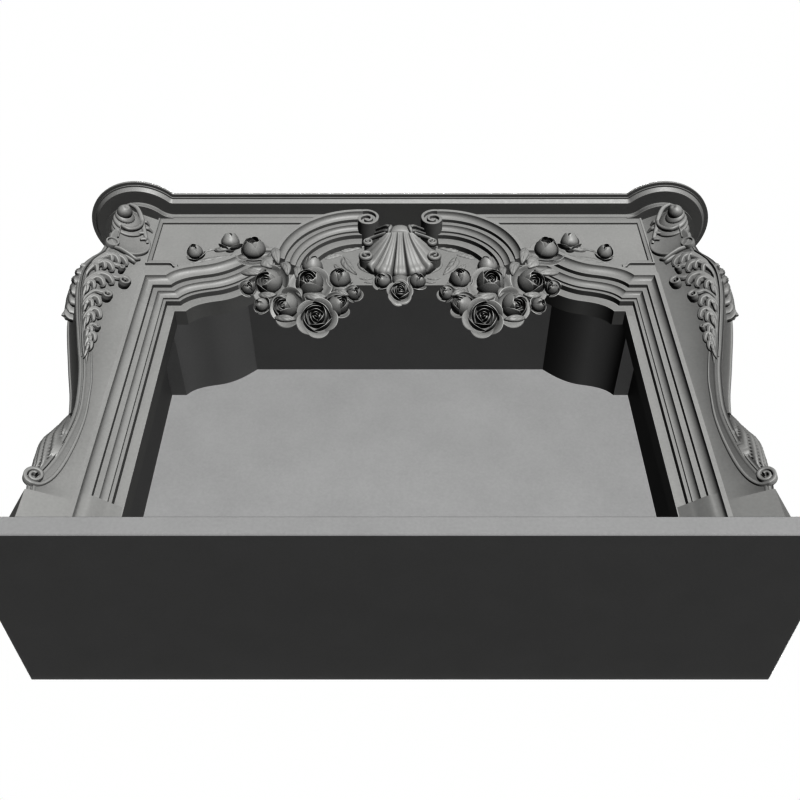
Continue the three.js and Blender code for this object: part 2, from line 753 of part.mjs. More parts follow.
const mantel = new THREE.Group();
mantel.add(
  node("hearth_slab", hearth(), hearthstone),
  node("back_panel", backPanel(), lining),
  node("firebox_lining", fireboxLining(), lining),
  node("jamb_left", jambLeft, limestone),
  node("jamb_right", mirrored(jambLeft), limestone),
  node("return_left", returnLeft, limestone),
  node("return_right", mirrored(returnLeft), limestone),
  node("lintel", lintel(), limestone),
  node("shelf", shelf(), limestone),
);

export default mantel;
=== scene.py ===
"""Dresses a carved stone fireplace mantel: moulded shelf, lintel with a broken arch, shell and roses,
canted scroll jambs, firebox and hearth slab. Sizes are in millimetres, turned to metres in one place."""

import math

import bmesh
import bpy
import numpy as np
from bpy.props import FloatProperty, FloatVectorProperty, PointerProperty
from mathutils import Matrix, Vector


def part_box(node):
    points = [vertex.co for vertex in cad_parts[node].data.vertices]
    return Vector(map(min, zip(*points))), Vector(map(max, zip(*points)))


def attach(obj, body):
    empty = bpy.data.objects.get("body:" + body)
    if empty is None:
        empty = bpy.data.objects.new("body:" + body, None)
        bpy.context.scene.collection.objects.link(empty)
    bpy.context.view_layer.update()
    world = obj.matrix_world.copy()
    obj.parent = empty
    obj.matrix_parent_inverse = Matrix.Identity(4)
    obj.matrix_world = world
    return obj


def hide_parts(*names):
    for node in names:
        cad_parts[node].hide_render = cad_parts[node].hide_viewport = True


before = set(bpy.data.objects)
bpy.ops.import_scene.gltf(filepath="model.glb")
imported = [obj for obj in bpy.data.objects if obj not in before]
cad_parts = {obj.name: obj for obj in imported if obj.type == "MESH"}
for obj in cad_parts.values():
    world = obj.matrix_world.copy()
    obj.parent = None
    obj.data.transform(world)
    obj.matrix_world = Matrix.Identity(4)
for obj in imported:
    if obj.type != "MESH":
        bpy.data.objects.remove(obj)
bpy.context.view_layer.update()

bl_info = {
    "name": "Carved stone mantel",
    "version": (1, 0, 0),
    "blender": (4, 5, 0),
    "location": "View3D > Sidebar > Mantel",
    "description": "Makes the carved stones of a fireplace mantel around its plain solids",
    "category": "Add Mesh",
}

MM = 0.001


def node_box(node):
    """The lowest and highest corner of one plain solid, in millimetres."""
    return [np.array(corner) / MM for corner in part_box(node)]


HEARTH_TOP = node_box("hearth_slab")[1][2]
SHELF_LOW, SHELF_HIGH = node_box("shelf")
LINING_LOW, LINING_HIGH = node_box("firebox_lining")
SOFFIT_Z = SHELF_LOW[2]
BACK_Y = SHELF_HIGH[1]
GAP = 0.3  # the bed of mortar between two stones

# Plan of the surround
FACE_Y = -151.0
LIP_Y = -113.0
LIP_BACK_Y = -70.0
OPENING_HALF = 559.0
FRAME_WIDTH = 92.0
CONSOLE_X = OPENING_HALF + FRAME_WIDTH
BEARING_Z = 780.0

# The opening's top: level shoulder, S-curve, level crown
SPRING_Z = 798.0
SHOULDER_HALF = 531.0
SHOULDER_SHIFT = 0.7
CROWN_Z = 901.0
CROWN_HALF = 359.0
CROWN_SHIFT = 0.41

# Shelf
SHELF_HALF = 800.0
SHELF_FRONT_Y = -204.0
SHELF_OVERHANG = 53.0
LOBE = np.array([708.0, -101.0])
LOBE_RADIUS = 141.0

# Broken arch
ARCH_CENTRE = np.array([-106.5, 934.0])
ARCH_RADIUS = 215.0
ARCH_FRONT_Y = -177.0
VOLUTE_CENTRE = np.array([-87.0, 1108.0])

# Shell: depth and height of its narrow end
SHELL_NECK = np.array([-192.0, 1022.0])

# Canted consoles
CANT = math.radians(24)
CONSOLE_THICKNESS = 110.0
NECK_Z = SOFFIT_Z - 28
PLINTH_Z = 165.0
STOP_Z = 179.0


class StoneSizes(bpy.types.PropertyGroup):
    """Sizes that a carver would change."""

    petal: FloatProperty(
        name="Petal", description="Thickness of a rose petal at its middle", default=0.0035, unit="LENGTH"
    )
    flute: FloatProperty(
        name="Flute", description="Depth of the shell's flutes at the rim", default=0.010, unit="LENGTH"
    )
    grain: FloatProperty(
        name="Grain", description="Width of a grain cluster in the stone", default=0.006, unit="LENGTH"
    )


def linear(code):
    """An sRGB hex colour as linear red, green and blue."""
    share = np.array([int(code[k : k + 2], 16) for k in (1, 3, 5)]) / 255
    return tuple(np.where(share > 0.04045, ((share + 0.055) / 1.055) ** 2.4, share / 12.92))


class StoneColours(bpy.types.PropertyGroup):
    """Colours of the three stones and of the floor."""

    limestone: FloatVectorProperty(
        name="Limestone", description="Carved surround", subtype="COLOR", default=linear("#a6a6a5")
    )
    hearthstone: FloatVectorProperty(
        name="Hearthstone", description="Honed hearth slab", subtype="COLOR", default=linear("#a6a6a6")
    )
    lining: FloatVectorProperty(
        name="Lining", description="Rubbed stone of the firebox", subtype="COLOR", default=linear("#a6a6a6")
    )
    floor: FloatVectorProperty(
        name="Floor", description="Pale studio floor", subtype="COLOR", default=linear("#e4e4e2")
    )


# Forms: a form is a pair of points and faces, and a piece is a list of forms in one mesh


def grid(points, ring_rows=False, ring_cols=False, ends=False):
    """A surface over a grid of points. Rows or columns may close on themselves, and where the columns
    close, flat ends can shut the first and the last row."""
    points = np.asarray(points, float)
    rows, cols = points.shape[:2]
    r = np.arange(rows if ring_rows else rows - 1)[:, None]
    c = np.arange(cols if ring_cols else cols - 1)[None, :]
    near, far = r * cols, (r + 1) % rows * cols
    after = (c + 1) % cols
    quads = np.stack([near + c, near + after, far + after, far + c], -1).reshape(-1, 4)
    faces = quads.tolist()
    if ends:
        faces.append(list(range(cols))[::-1])
        faces.append(list(range((rows - 1) * cols, rows * cols)))
    return points.reshape(-1, 3), faces


def mirrored(form):
    """The same form on the other side of the middle plane."""
    points, faces = form
    return points * [-1, 1, 1], [face[::-1] for face in faces]


def both_sides(forms):
    """Forms of the left side together with their mirror images."""
    return forms + [mirrored(form) for form in forms]


def build(name, forms, replaces=None, finish="carved_limestone", crease=38):
    """Joins forms into one mesh object at the origin. Points in one place are merged, which closes seams
    and poles, and faces are turned outwards. Edges sharper than the crease angle stay crisp."""
    points = np.concatenate([form[0] for form in forms]) * MM
    starts = np.cumsum([0] + [len(form[0]) for form in forms])
    faces = [[k + int(start) for k in face] for start, form in zip(starts, forms) for face in form[1]]
    mesh = bpy.data.meshes.new(name)
    mesh.from_pydata(points, [], faces)
    work = bmesh.new()
    work.from_mesh(mesh)
    bmesh.ops.remove_doubles(work, verts=work.verts, dist=0.002 * MM)
    bmesh.ops.recalc_face_normals(work, faces=work.faces)
    work.to_mesh(mesh)
    work.free()
    mesh.shade_smooth()
    mesh.set_sharp_from_angle(angle=math.radians(crease))
    mesh.materials.append(stone(finish))
    piece = bpy.data.objects.new(name, mesh)
    bpy.context.scene.collection.objects.link(piece)
    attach(piece, "root")
    if replaces:
        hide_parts(replaces)


def build_pair(name, left, replaces=None, crease=38):
    """Builds a piece of the left side and its mirror image on the right."""
    sides = {"left": left, "right": [mirrored(form) for form in left]}
    for side, forms in sides.items():
        build(f"{name}_{side}", forms, replaces and f"{replaces}_{side}", crease=crease)


# Lines and sections


def smooth_line(points, count):
    """A curve through the points: between two of them a cubic whose slope at each point is half the step
    between its neighbours."""
    p = np.asarray(points, float)
    p = np.vstack([2 * p[0] - p[1], p, 2 * p[-1] - p[-2]])
    t = np.linspace(0, len(points) - 1, count)
    k = np.minimum(t.astype(int), len(points) - 2)
    s = (t - k)[:, None]
    a, b, c, d = p[k], p[k + 1], p[k + 2], p[k + 3]
    return 0.5 * (2 * b + (c - a) * s + (2 * a - 5 * b + 4 * c - d) * s**2 + (3 * b - a - 3 * c + d) * s**3)


def cubic(a, b, c, d, count):
    """A cubic Bezier curve from a to d."""
    t = np.linspace(0, 1, count)[:, None]
    a, b, c, d = (np.asarray(p, float) for p in (a, b, c, d))
    return a * (1 - t) ** 3 + 3 * b * t * (1 - t) ** 2 + 3 * c * t**2 * (1 - t) + d * t**3


def bow(start, end, bulge, count=7):
    """A shallow arc between two points of a section: a parabola that bulges to the left of the way by a
    share of the distance."""
    start, end = np.asarray(start, float), np.asarray(end, float)
    t = np.linspace(0, 1, count)[:, None]
    step = end - start
    side = np.array([-step[1], step[0]])
    return (start + step * t + side * bulge * 4 * t * (1 - t)).tolist()


def unit(vectors):
    """Vectors divided by their own lengths."""
    return vectors / np.maximum(np.linalg.norm(vectors, axis=-1, keepdims=True), 1e-9)


def carried(path, section, rise):
    """A closed section carried along a path. The section holds, for each point of the path, offsets to
    the side and along the rise direction, which is kept square to the path."""
    path = np.asarray(path, float)
    along = unit(np.gradient(path, axis=0))
    side = unit(np.cross(along, np.broadcast_to(rise, along.shape)))
    up = np.cross(side, along)
    points = path[:, None] + section[..., :1] * side[:, None] + section[..., 1:] * up[:, None]
    return grid(points, ring_cols=True, ends=True)


def rounded(count, sides, width, depth, grooves=0, cut=0.0):
    """Oval sections with a width and a depth for each of count points, and a number of grooves."""
    angle = np.linspace(0, 2 * np.pi, sides, endpoint=False)
    radius = 1 + cut * np.cos(grooves * angle)
    width = np.broadcast_to(width, count)[:, None]
    depth = np.broadcast_to(depth, count)[:, None]
    return np.stack([width / 2 * radius * np.cos(angle), depth / 2 * radius * np.sin(angle)], -1)


def squared(count, width, depth, corner=1.2):
    """Flat-faced sections with rounded arrises: half a width and half a depth on each side of the line."""
    x = np.broadcast_to(width, count) / 2
    y = np.broadcast_to(depth, count) / 2
    across = [x, x, x - corner, corner - x, -x, -x]
    rise = [-y, y - corner, y, y, y - corner, -y]
    return np.stack([np.stack(across, 1), np.stack(rise, 1)], -1)


def ribbon(points, count, width, depth, rise=(0, -1, 0), sides=14, grooves=0, cut=0.0):
    """A rounded band along a smooth line, with widths and depths given along it and blended."""
    path = smooth_line(points, count)
    t = np.linspace(0, 1, count)
    width = np.interp(t, np.linspace(0, 1, len(width)), width)
    depth = np.interp(t, np.linspace(0, 1, len(depth)), depth)
    return carried(path, rounded(count, sides, width, depth, grooves, cut), rise)


def leaf(points, width, facing, rise=4.0, veins=4, cut=0.1, count=34):
    """A carved leaf along a smooth spine, pointed at both ends and domed, with a sunk midrib and slanting
    side veins cut to a share of its rise. Its underside is flat and lies in the stone that carries it."""
    v = np.linspace(0, 1, count)[:, None]
    u = np.linspace(-1, 1, 17)[None, :]
    spine = smooth_line(points, count)
    along = unit(np.gradient(spine, axis=0))
    side = unit(np.cross(along, np.broadcast_to(facing, along.shape)))
    up = np.cross(side, along)
    half = width / 2 * np.sin(np.pi * (0.02 + 0.96 * v) ** 0.8) ** 0.8
    swell = rise * np.sqrt(np.maximum(0, 1 - u**2)) * np.sin(np.pi * (0.04 + 0.92 * v)) ** 0.5
    midrib = 2.5 * cut * rise * np.exp(-((u / 0.1) ** 2))
    vein = cut * rise * np.cos(2 * np.pi * (veins * v - 0.9 * np.abs(u))) * (1 - u**2)
    height = (swell - midrib - vein)[..., None] * up[:, None]
    across = spine[:, None] + (u * half)[..., None] * side[:, None]
    below = across[:, ::-1] - 2 * up[:, None]
    return grid(np.concatenate([across + height, below], 1), ring_cols=True, ends=True)


def post(plan, low, high):
    """A flat outline of [x, y] points in the plan, as a post between two heights."""
    return grid([[[*p, z] for p in plan] for z in (low, high)], ring_cols=True, ends=True)


def slab(outline, front, back):
    """A flat outline of [x, z] points in the front view, as a plate between two depths."""
    outline = np.asarray(outline, float)
    rows = [np.column_stack([outline[:, 0], np.full(len(outline), y), outline[:, 1]]) for y in (front, back)]
    return grid(rows, ring_cols=True, ends=True)


def drum(centre, radius, front, back, sides=28):
    """A round slab about a centre, [x, z], between two depths."""
    angle = np.linspace(0, 2 * np.pi, sides, endpoint=False)
    outline = np.column_stack([centre[0] + radius * np.cos(angle), centre[1] + radius * np.sin(angle)])
    return slab(outline, front, back)


def moulding(line_at, profile):
    """A moulding: each point of the profile, [distance, y], follows the line drawn at its own distance."""
    lines = np.stack([np.asarray(line_at(out), float) for out, _ in profile], 1)
    depth = np.broadcast_to(np.array([y for _, y in profile]), lines.shape[:2])
    points = np.stack([lines[..., 0], depth, lines[..., 1]], -1)
    return grid(points, ring_cols=True, ends=True)


# Stone

CLOUD_WIDTH = 120.0
GRAIN_DEPTH = 0.4


def add_node(tree, kind, settings=None, **links):
    """Adds a node: settings are its properties, and links name its inputs, with a value or an output."""
    node = tree.nodes.new(kind)
    for key, value in (settings or {}).items():
        setattr(node, key, value)
    for key, value in links.items():
        socket = node.inputs[int(key[1:])] if key[1:].isdigit() else node.inputs[key.replace("_", " ")]
        if isinstance(value, bpy.types.NodeSocket):
            tree.links.new(value, socket)
        else:
            socket.default_value = value
    return node


def stone_material(name, colour, roughness, relief):
    """Grey limestone, carved or sawn and then honed: an even mid grey with soft clouds a hand wide, fine
    grain clusters, faintly paler rubbed arrises, hollows faintly darkened as painted shade, and a dull
    sheen. The grain of real limestone is under a millimetre, too fine to show, so it is drawn a few
    millimetres wide."""
    sizes = bpy.context.scene.stone_sizes
    material = bpy.data.materials.new(name)
    material.use_nodes = True
    tree = material.node_tree
    shader = tree.nodes["Principled BSDF"]
    place = add_node(tree, "ShaderNodeTexCoord").outputs["Object"]
    noise = "ShaderNodeTexNoise"
    clouds = add_node(tree, noise, Vector=place, Scale=1 / (CLOUD_WIDTH * MM), Detail=4.0).outputs["Fac"]
    grain = add_node(tree, noise, Vector=place, Scale=1 / sizes.grain, Detail=3.0).outputs["Fac"]
    tone = add_node(tree, "ShaderNodeMath", {"operation": "MULTIPLY_ADD"}, _0=clouds, _1=0.10, _2=0.90)
    speck = add_node(
        tree, "ShaderNodeMath", {"operation": "MULTIPLY_ADD"}, _0=grain, _1=0.10, _2=tone.outputs[0]
    )
    # Pointiness tints the colour: paler rubbed arrises are wear, and darker hollows are painted shade
    convexity = add_node(tree, "ShaderNodeNewGeometry").outputs["Pointiness"]
    wear_and_hollow_shade = add_node(tree, "ShaderNodeMapRange", Value=convexity, _1=0.42, _2=0.6, _3=0.92, _4=1.08).outputs[0]
    shade = add_node(tree, "ShaderNodeMath", {"operation": "MULTIPLY"}, _0=speck.outputs[0], _1=wear_and_hollow_shade)
    tint = add_node(
        tree, "ShaderNodeVectorMath", {"operation": "SCALE"}, _0=tuple(colour), Scale=shade.outputs[0]
    )
    tree.links.new(tint.outputs[0], shader.inputs["Base Color"])
    gloss = add_node(
        tree, "ShaderNodeMapRange", Value=grain, _1=0.3, _2=0.7, _3=roughness - 0.04, _4=roughness + 0.04
    )
    tree.links.new(gloss.outputs[0], shader.inputs["Roughness"])
    bump = add_node(tree, "ShaderNodeBump", Height=grain, Strength=relief, Distance=GRAIN_DEPTH * MM)
    tree.links.new(bump.outputs[0], shader.inputs["Normal"])
    shader.inputs["IOR"].default_value = 1.5
    return material


def stone(name):
    """The material of one stone, made on first use."""
    made = bpy.data.materials.get(name)
    if made:
        return made
    colours = bpy.context.scene.stone_colours
    finishes = {
        "carved_limestone": (colours.limestone, 0.53, 0.12),
        "honed_hearthstone": (colours.hearthstone, 0.55, 0.06),
        "rubbed_lining": (colours.lining, 0.6, 0.1),
    }
    return stone_material(name, *finishes[name])


def dress_node(node, name):
    """Gives a plain solid that is shown as it is its stone."""
    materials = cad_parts[node].data.materials
    materials.clear()
    materials.append(stone(name))


# Stage


def add_sun(name, towards, strength, spread, casts):
    """A distant lamp that stands in the given direction. One behind that casts no shadow gives no gloss."""
    lamp = bpy.data.lights.new(name, "SUN")
    lamp.energy = strength
    lamp.angle = math.radians(spread)
    lamp.use_shadow = casts
    holder = bpy.data.objects.new(name, lamp)
    holder.visible_glossy = casts or towards[1] < 0
    holder.rotation_euler = Vector(towards).to_track_quat("Z", "Y").to_euler()
    holder.location = Vector(towards).normalized() * 4
    bpy.context.scene.collection.objects.link(holder)


# Camera in metres and degrees: it stands below the slab and looks up at half a right angle
CAMERA_PLACE = (0, -1.65125, -1.0512)
CAMERA_FIELD = 45
CAMERA_TILT = 135
# Floor in metres
FLOOR_RADIUS = 5.0
FLOOR_Z = -0.002
FLOOR_SIDES = 96


class MANTEL_OT_stage(bpy.types.Operator):
    """Sets up the camera below the front, the lamps, the background and the floor"""

    bl_idname = "mantel.stage"
    bl_label = "Stage"

    def execute(self, context):
        scene = context.scene
        camera = bpy.data.cameras.new("camera")
        camera.sensor_width = 36
        camera.angle = math.radians(CAMERA_FIELD)
        camera.clip_start = 0.01
        holder = bpy.data.objects.new("camera", camera)
        holder.location = CAMERA_PLACE
        holder.rotation_euler = (math.radians(CAMERA_TILT), 0, 0)
        scene.collection.objects.link(holder)
        scene.camera = holder
        self.lamps()
        self.background(scene)
        self.floor(context)
        return {"FINISHED"}

    def lamps(self):
        """One lamp low on the right lights the carving firmly, and four above and behind light the rest."""
        add_sun("key_lamp", (0.22, -0.945, -0.29), 4.85, 4, False)
        add_sun("top_lamp", (0, 0.35, 1), 2.6, 25, True)
        add_sun("high_back_lamp", (0, 0.85, 0.53), 1.6, 1, False)
        add_sun("back_left_lamp", (-0.45, 0.9, 0.2), 2.2, 10, True)
        add_sun("back_right_lamp", (0.45, 0.9, 0.2), 2.2, 10, True)

    def background(self, scene):
        """A white room that itself gives only a little light, and a print with firm contrast."""
        world = bpy.data.worlds.new("studio")
        world.use_nodes = True
        scene.world = world
        tree = world.node_tree
        glow = tree.nodes["Background"]
        glow.inputs["Color"].default_value = (1, 1, 1, 1)
        glow.inputs["Strength"].default_value = 0.12
        white = add_node(tree, "ShaderNodeBackground", Color=(1, 1, 1, 1), Strength=1.0)
        seen = add_node(tree, "ShaderNodeLightPath").outputs["Is Camera Ray"]
        mix = add_node(tree, "ShaderNodeMixShader", _0=seen, _1=glow.outputs[0], _2=white.outputs[0])
        tree.links.new(mix.outputs[0], tree.nodes["World Output"].inputs["Surface"])
        scene.view_settings.view_transform = "Standard"
        scene.view_settings.gamma = 0.4545
        scene.cycles.diffuse_bounces = 0

    def floor(self, context):
        """A pale disc just under the slab. It shows from above alone, because the camera looks up
        through it, and the lamps below shine through it."""
        angle = np.linspace(0, 2 * np.pi, FLOOR_SIDES, endpoint=False)
        x, y = FLOOR_RADIUS * np.cos(angle), FLOOR_RADIUS * np.sin(angle)
        rim = np.column_stack([x, y, np.full(FLOOR_SIDES, FLOOR_Z)])
        mesh = bpy.data.meshes.new("floor")
        mesh.from_pydata(rim, [], [list(range(FLOOR_SIDES))])
        material = bpy.data.materials.new("pale_floor")
        material.use_nodes = True
        tree = material.node_tree
        shader = tree.nodes["Principled BSDF"]
        shader.inputs["Base Color"].default_value = (*context.scene.stone_colours.floor, 1)
        shader.inputs["Roughness"].default_value = 0.8
        below = add_node(tree, "ShaderNodeNewGeometry").outputs["Backfacing"]
        lamp_ray = add_node(tree, "ShaderNodeLightPath").outputs["Is Shadow Ray"]
        either = add_node(tree, "ShaderNodeMath", {"operation": "MAXIMUM"}, _0=below, _1=lamp_ray)
        clear = add_node(tree, "ShaderNodeBsdfTransparent")
        mix = add_node(
            tree, "ShaderNodeMixShader", _0=either.outputs[0], _1=shader.outputs[0], _2=clear.outputs[0]
        )
        tree.links.new(mix.outputs[0], tree.nodes["Material Output"].inputs["Surface"])
        mesh.materials.append(material)
        floor = bpy.data.objects.new("floor", mesh)
        context.scene.collection.objects.link(floor)


# Hearth, firebox and returns


def opening_curve(out, count=28):
    """The top of the opening on its left side at a distance outside it: two cubics that make an S."""
    start = np.array([-SHOULDER_HALF - SHOULDER_SHIFT * out, SPRING_Z + out])
    end = np.array([-CROWN_HALF - CROWN_SHIFT * out, CROWN_Z + out])
    span = end[0] - start[0]

    def point(share, rise):
        """A point at a share of the curve's width and a rise above its start."""
        return start + [share * span, rise]

    lower = cubic(start, point(0.08, 22), point(0.21, 32), point(0.44, 40), count)
    upper = cubic(point(0.44, 40), point(0.67, 48), point(0.82, 70), end, count)
    return np.vstack([lower, upper[1:]])


FIREBOX_RISE = 40
FIREBOX_WALL = 40


def firebox_form():
    """Cheeks and hood: the opening's curve drawn wider and higher, as a deep plate."""
    half = LINING_HIGH[0] - FIREBOX_WALL
    widen = half - OPENING_HALF - FIREBOX_RISE
    curve = opening_curve(FIREBOX_RISE) - [widen, 0]
    left = np.vstack([[-half, LINING_LOW[2]], [-half, SPRING_Z + FIREBOX_RISE], curve])
    inside = np.vstack([left, (left * [-1, 1])[::-1]])
    wide, low, high = LINING_HIGH[0], LINING_LOW[2], LINING_HIGH[2]
    outside = [[wide, low], [wide, high], [-wide, high], [-wide, low]]
    return slab(np.vstack([inside, outside]), LINING_LOW[1], LINING_HIGH[1])


class MANTEL_OT_plain_stones(bpy.types.Operator):
    """Gives the hearth slab, the back panel and the returns their stone, and smooths the firebox hood"""

    bl_idname = "mantel.plain_stones"
    bl_label = "Plain stones"

    def execute(self, context):
        dress_node("hearth_slab", "honed_hearthstone")
        dress_node("back_panel", "rubbed_lining")
        for side in ("left", "right"):
            dress_node(f"return_{side}", "carved_limestone")
        build("firebox", [firebox_form()], "firebox_lining", "rubbed_lining")
        return {"FINISHED"}


# Shelf


def shelf_line(inset, arc=40):
    """The right half of the shelf's plan at a distance inside its edge: the straight front, a hollow round
    the inner corner, the lobe, a hollow round the outer corner and the straight side."""
    corner = np.array([LOBE[0] - math.sqrt(LOBE_RADIUS**2 - (SHELF_FRONT_Y - LOBE[1]) ** 2), SHELF_FRONT_Y])
    flank = math.acos((SHELF_HALF - LOBE[0]) / LOBE_RADIUS)
    outer = LOBE + LOBE_RADIUS * np.array([math.cos(flank), math.sin(flank)])
    inward = math.atan2(LOBE[1] - corner[1], LOBE[0] - corner[0])
    spans = [
        (corner, inset, math.pi / 2, inward, 10),
        (LOBE, LOBE_RADIUS - inset, inward - math.pi, flank, arc),
        (outer, inset, flank + math.pi, math.pi, 10),
    ]
    line = [[[0, SHELF_FRONT_Y + inset]]]
    for centre, radius, first, last, count in spans:
        angle = np.linspace(first, last, count)
        line.append(centre + radius * np.column_stack([np.cos(angle), np.sin(angle)]))
    line.append([[SHELF_HALF - inset, BACK_Y]])
    return np.vstack(line)


# The shelf's edge from its soffit to its top: [distance in from the edge, height above the soffit]
SHELF_EDGE = [
    [19, 0],
    [11.5, 10.5],
    [8, 10.5],
    [8, 14.5],
    [0.4, 14.5],
    [0, 15],
    [0, 18.5],
    *bow((0, 19), (8.5, 26), 0.2, 6),
]


def shelf_form():
    """A slab whose rings are the plan drawn at each distance of the edge's profile."""
    rings = []
    for inset, rise in SHELF_EDGE:
        right = shelf_line(inset)
        plan = np.vstack([right, (right * [-1, 1])[::-1]])
        rings.append(np.column_stack([plan, np.full(len(plan), SOFFIT_Z + rise)]))
    return grid(rings, ring_cols=True, ends=True)


class MANTEL_OT_shelf(bpy.types.Operator):
    """Makes the moulded shelf with its two round corner lobes"""

    bl_idname = "mantel.shelf"
    bl_label = "Shelf"

    def execute(self, context):
        build("moulded_shelf", [shelf_form()], "shelf", crease=24)
        return {"FINISHED"}


# Frame and lintel


def cove(outer, inner, count=9):
    """A hollow quarter of an oval in a section, from its deep inner end to its steep outer end."""
    angle = np.linspace(np.pi / 2, 0, count)
    out = outer[0] - (outer[0] - inner[0]) * (1 - np.cos(angle))
    depth = outer[1] + (inner[1] - outer[1]) * np.sin(angle)
    return np.column_stack([out, depth]).tolist()


# The frame moulding from the opening outwards: [distance from the opening, depth behind the face]
FRAME_PROFILE = [
    [0, 38],
    [22.7, 38],
    [22.7, 24.5],
    [30.5, 24.5],
    *cove((44.8, 9), (30.5, 20)),
    [57.9, 9],
    *cove((77.2, -15), (57.9, 0)),
    [88, -15],
    [88, 0],
    [FRAME_WIDTH, 0],
]
FRAME_END_X = -300


def frame_line(out):
    """The frame on its left side, from the bearing up the side and over to the arch."""
    side = [[-OPENING_HALF - out, BEARING_Z], [-OPENING_HALF - out, SPRING_Z + out]]
    return np.vstack([side, opening_curve(out), [[FRAME_END_X, CROWN_Z + out]]])


def frame_moulding():
    """The frame's profile, set back from the face, along the frame's line and closed behind."""
    profile = [[out, FACE_Y + depth] for out, depth in FRAME_PROFILE]
    return moulding(frame_line, [*profile, [FRAME_WIDTH, LIP_BACK_Y], [0, LIP_BACK_Y]])


def arch_line(inset, start=176, end=88, count=60):
    """The arch on its left side, from its foot to its top, at a distance inside its outer edge."""
    angle = np.radians(np.linspace(start, end, count))
    return ARCH_CENTRE + (ARCH_RADIUS - inset) * np.column_stack([np.cos(angle), np.sin(angle)])


def lintel_field():
    """The flat front of the lintel on its left side, above the frame and outside the arch."""
    overlap = FRAME_WIDTH - 4
    low = frame_line(overlap)[:-1]
    foot = 180 - math.degrees(math.asin((CROWN_Z + overlap - ARCH_CENTRE[1]) / ARCH_RADIUS))
    top = [[ARCH_CENTRE[0], SOFFIT_Z - GAP], [-CONSOLE_X, SOFFIT_Z - GAP], [-CONSOLE_X, BEARING_Z]]
    return slab(np.vstack([low, arch_line(8, foot), top]), FACE_Y, LIP_BACK_Y)


RECESS_HALF = 112.0
RECESS_Y = -88.0


def lintel_core():
    """The plain wall of the lintel, level with the frame's lip, down to the opening's crown. Between the
    two scrolls it steps back."""
    left = np.vstack([frame_line(2)[:-1], [[0, CROWN_Z]]])
    right = (left * [-1, 1])[::-1]
    top, low = SOFFIT_Z - GAP, SHELL_NECK[1] + 40
    notch = [[RECESS_HALF, top], [RECESS_HALF, low], [-RECESS_HALF, low], [-RECESS_HALF, top]]
    sides = [[[CONSOLE_X, BEARING_Z], [CONSOLE_X, top]], [[-CONSOLE_X, top], [-CONSOLE_X, BEARING_Z]]]
    wall = slab(np.vstack([left, right[1:], sides[0], notch, sides[1]]), LIP_Y, LIP_BACK_Y)
    recess = [notch[0], [RECESS_HALF, low - 1], [-RECESS_HALF, low - 1], notch[3]]
    return [wall, slab(recess, RECESS_Y, LIP_BACK_Y)]


# The rim of a frieze panel from its outer edge inwards: [distance, height above the face]
RIM = [[0, -1], [0, 7], [4.5, 7.5], [5, 5.2], [13.5, 5.5], [14.2, 4.8], [14.2, -1]]
PANEL_LEFT = -650.0
PANEL_LOW = 936.0
PANEL_HIGH = 1151.0
RIM_TOP = 2.45  # how much wider the rim is along the top


def panel_rim():
    """The raised rim round the left frieze panel: along the bed under the shelf, down the side, and along
    the foot until it drops towards the frame in a small S."""
    profile = [[out, FACE_Y - rise] for out, rise in RIM]

    def foot(out):
        """The side and the foot at a distance inside the rim's edge."""
        z = PANEL_LOW + out
        level = [[PANEL_LEFT + out, PANEL_HIGH - out * RIM_TOP], [PANEL_LEFT + out - 0.001, z]]
        drop = cubic((-590, z), (-578, z), (-582, z - 16), (-566, z - 17), 14)
        return np.vstack([level, drop])

    def top(out):
        """The top at a distance inside the rim's edge, drawn wider."""
        z = PANEL_HIGH - out * RIM_TOP
        return [[PANEL_LEFT + out, z], [-180, z]]

    return [moulding(foot, profile), moulding(top, profile)]


class MANTEL_OT_lintel(bpy.types.Operator):
    """Makes the lintel: the frame's top with its S-curves, the frieze panels and the wall behind them"""

    bl_idname = "mantel.lintel"
    bl_label = "Lintel"

    def execute(self, context):
        side = [frame_moulding(), lintel_field(), *panel_rim()]
        build("lintel_frame", [*lintel_core(), *both_sides(side)], "lintel")
        return {"FINISHED"}


# Arch

# The arch moulding from its outer edge inwards: [distance from the outer edge, depth behind its front]
ARCH_PROFILE = [
    [0, 0],
    *cove((10.3, 0), (26, 15))[::-1],
    [26, 23],
    *cove((39, 23), (53, 34))[::-1],
    [53, 38.4],
    [64.4, 38.4],
    [64.4, 49.5],
    [89.4, 49.5],
    [89.4, LIP_Y - ARCH_FRONT_Y],
]


def arch_moulding():
    """The arch's profile, set back from its front, along the arch's line and closed behind."""
    profile = [[inset, ARCH_FRONT_Y + depth] for inset, depth in ARCH_PROFILE]
    return moulding(arch_line, [*profile, [0, LIP_Y]])


# The spiral on the arch's scroll: [turns past its top, distance from the eye]
VOLUTE = np.array(
    [(-0.075, 41), (0, 38), (0.25, 26), (0.5, 22), (0.75, 21), (1, 17), (1.25, 11), (1.5, 8), (1.75, 5)]
)
VOLUTE_FACE_Y = ARCH_FRONT_Y + 9


def volute():
    """The scroll at the arch's end: a drum that swells towards the arch, and a fillet wound on its face."""
    turn = np.linspace(0, 1, 64, endpoint=False)
    radius = 26 + 17 * np.maximum(0, 1 - 2.4 * turn) ** 1.5
    angle = 2 * np.pi * turn
    outline = VOLUTE_CENTRE + radius[:, None] * np.column_stack([np.sin(angle), np.cos(angle)])
    first, last = VOLUTE[0, 0], VOLUTE[-1, 0]
    wound = np.linspace(first, last, 120)
    reach = np.interp(wound, *VOLUTE.T)
    swept = 2 * np.pi * wound
    x, z = VOLUTE_CENTRE[0] + reach * np.sin(swept), VOLUTE_CENTRE[1] + reach * np.cos(swept)
    line = np.column_stack([x, np.full(120, VOLUTE_FACE_Y), z])
    width = np.interp(wound, [first, 0.6, last], [8, 9, 6])
    fillet = carried(line, squared(120, width, 18), (0, -1, 0))
    return [slab(outline, VOLUTE_FACE_Y, RECESS_Y), fillet]


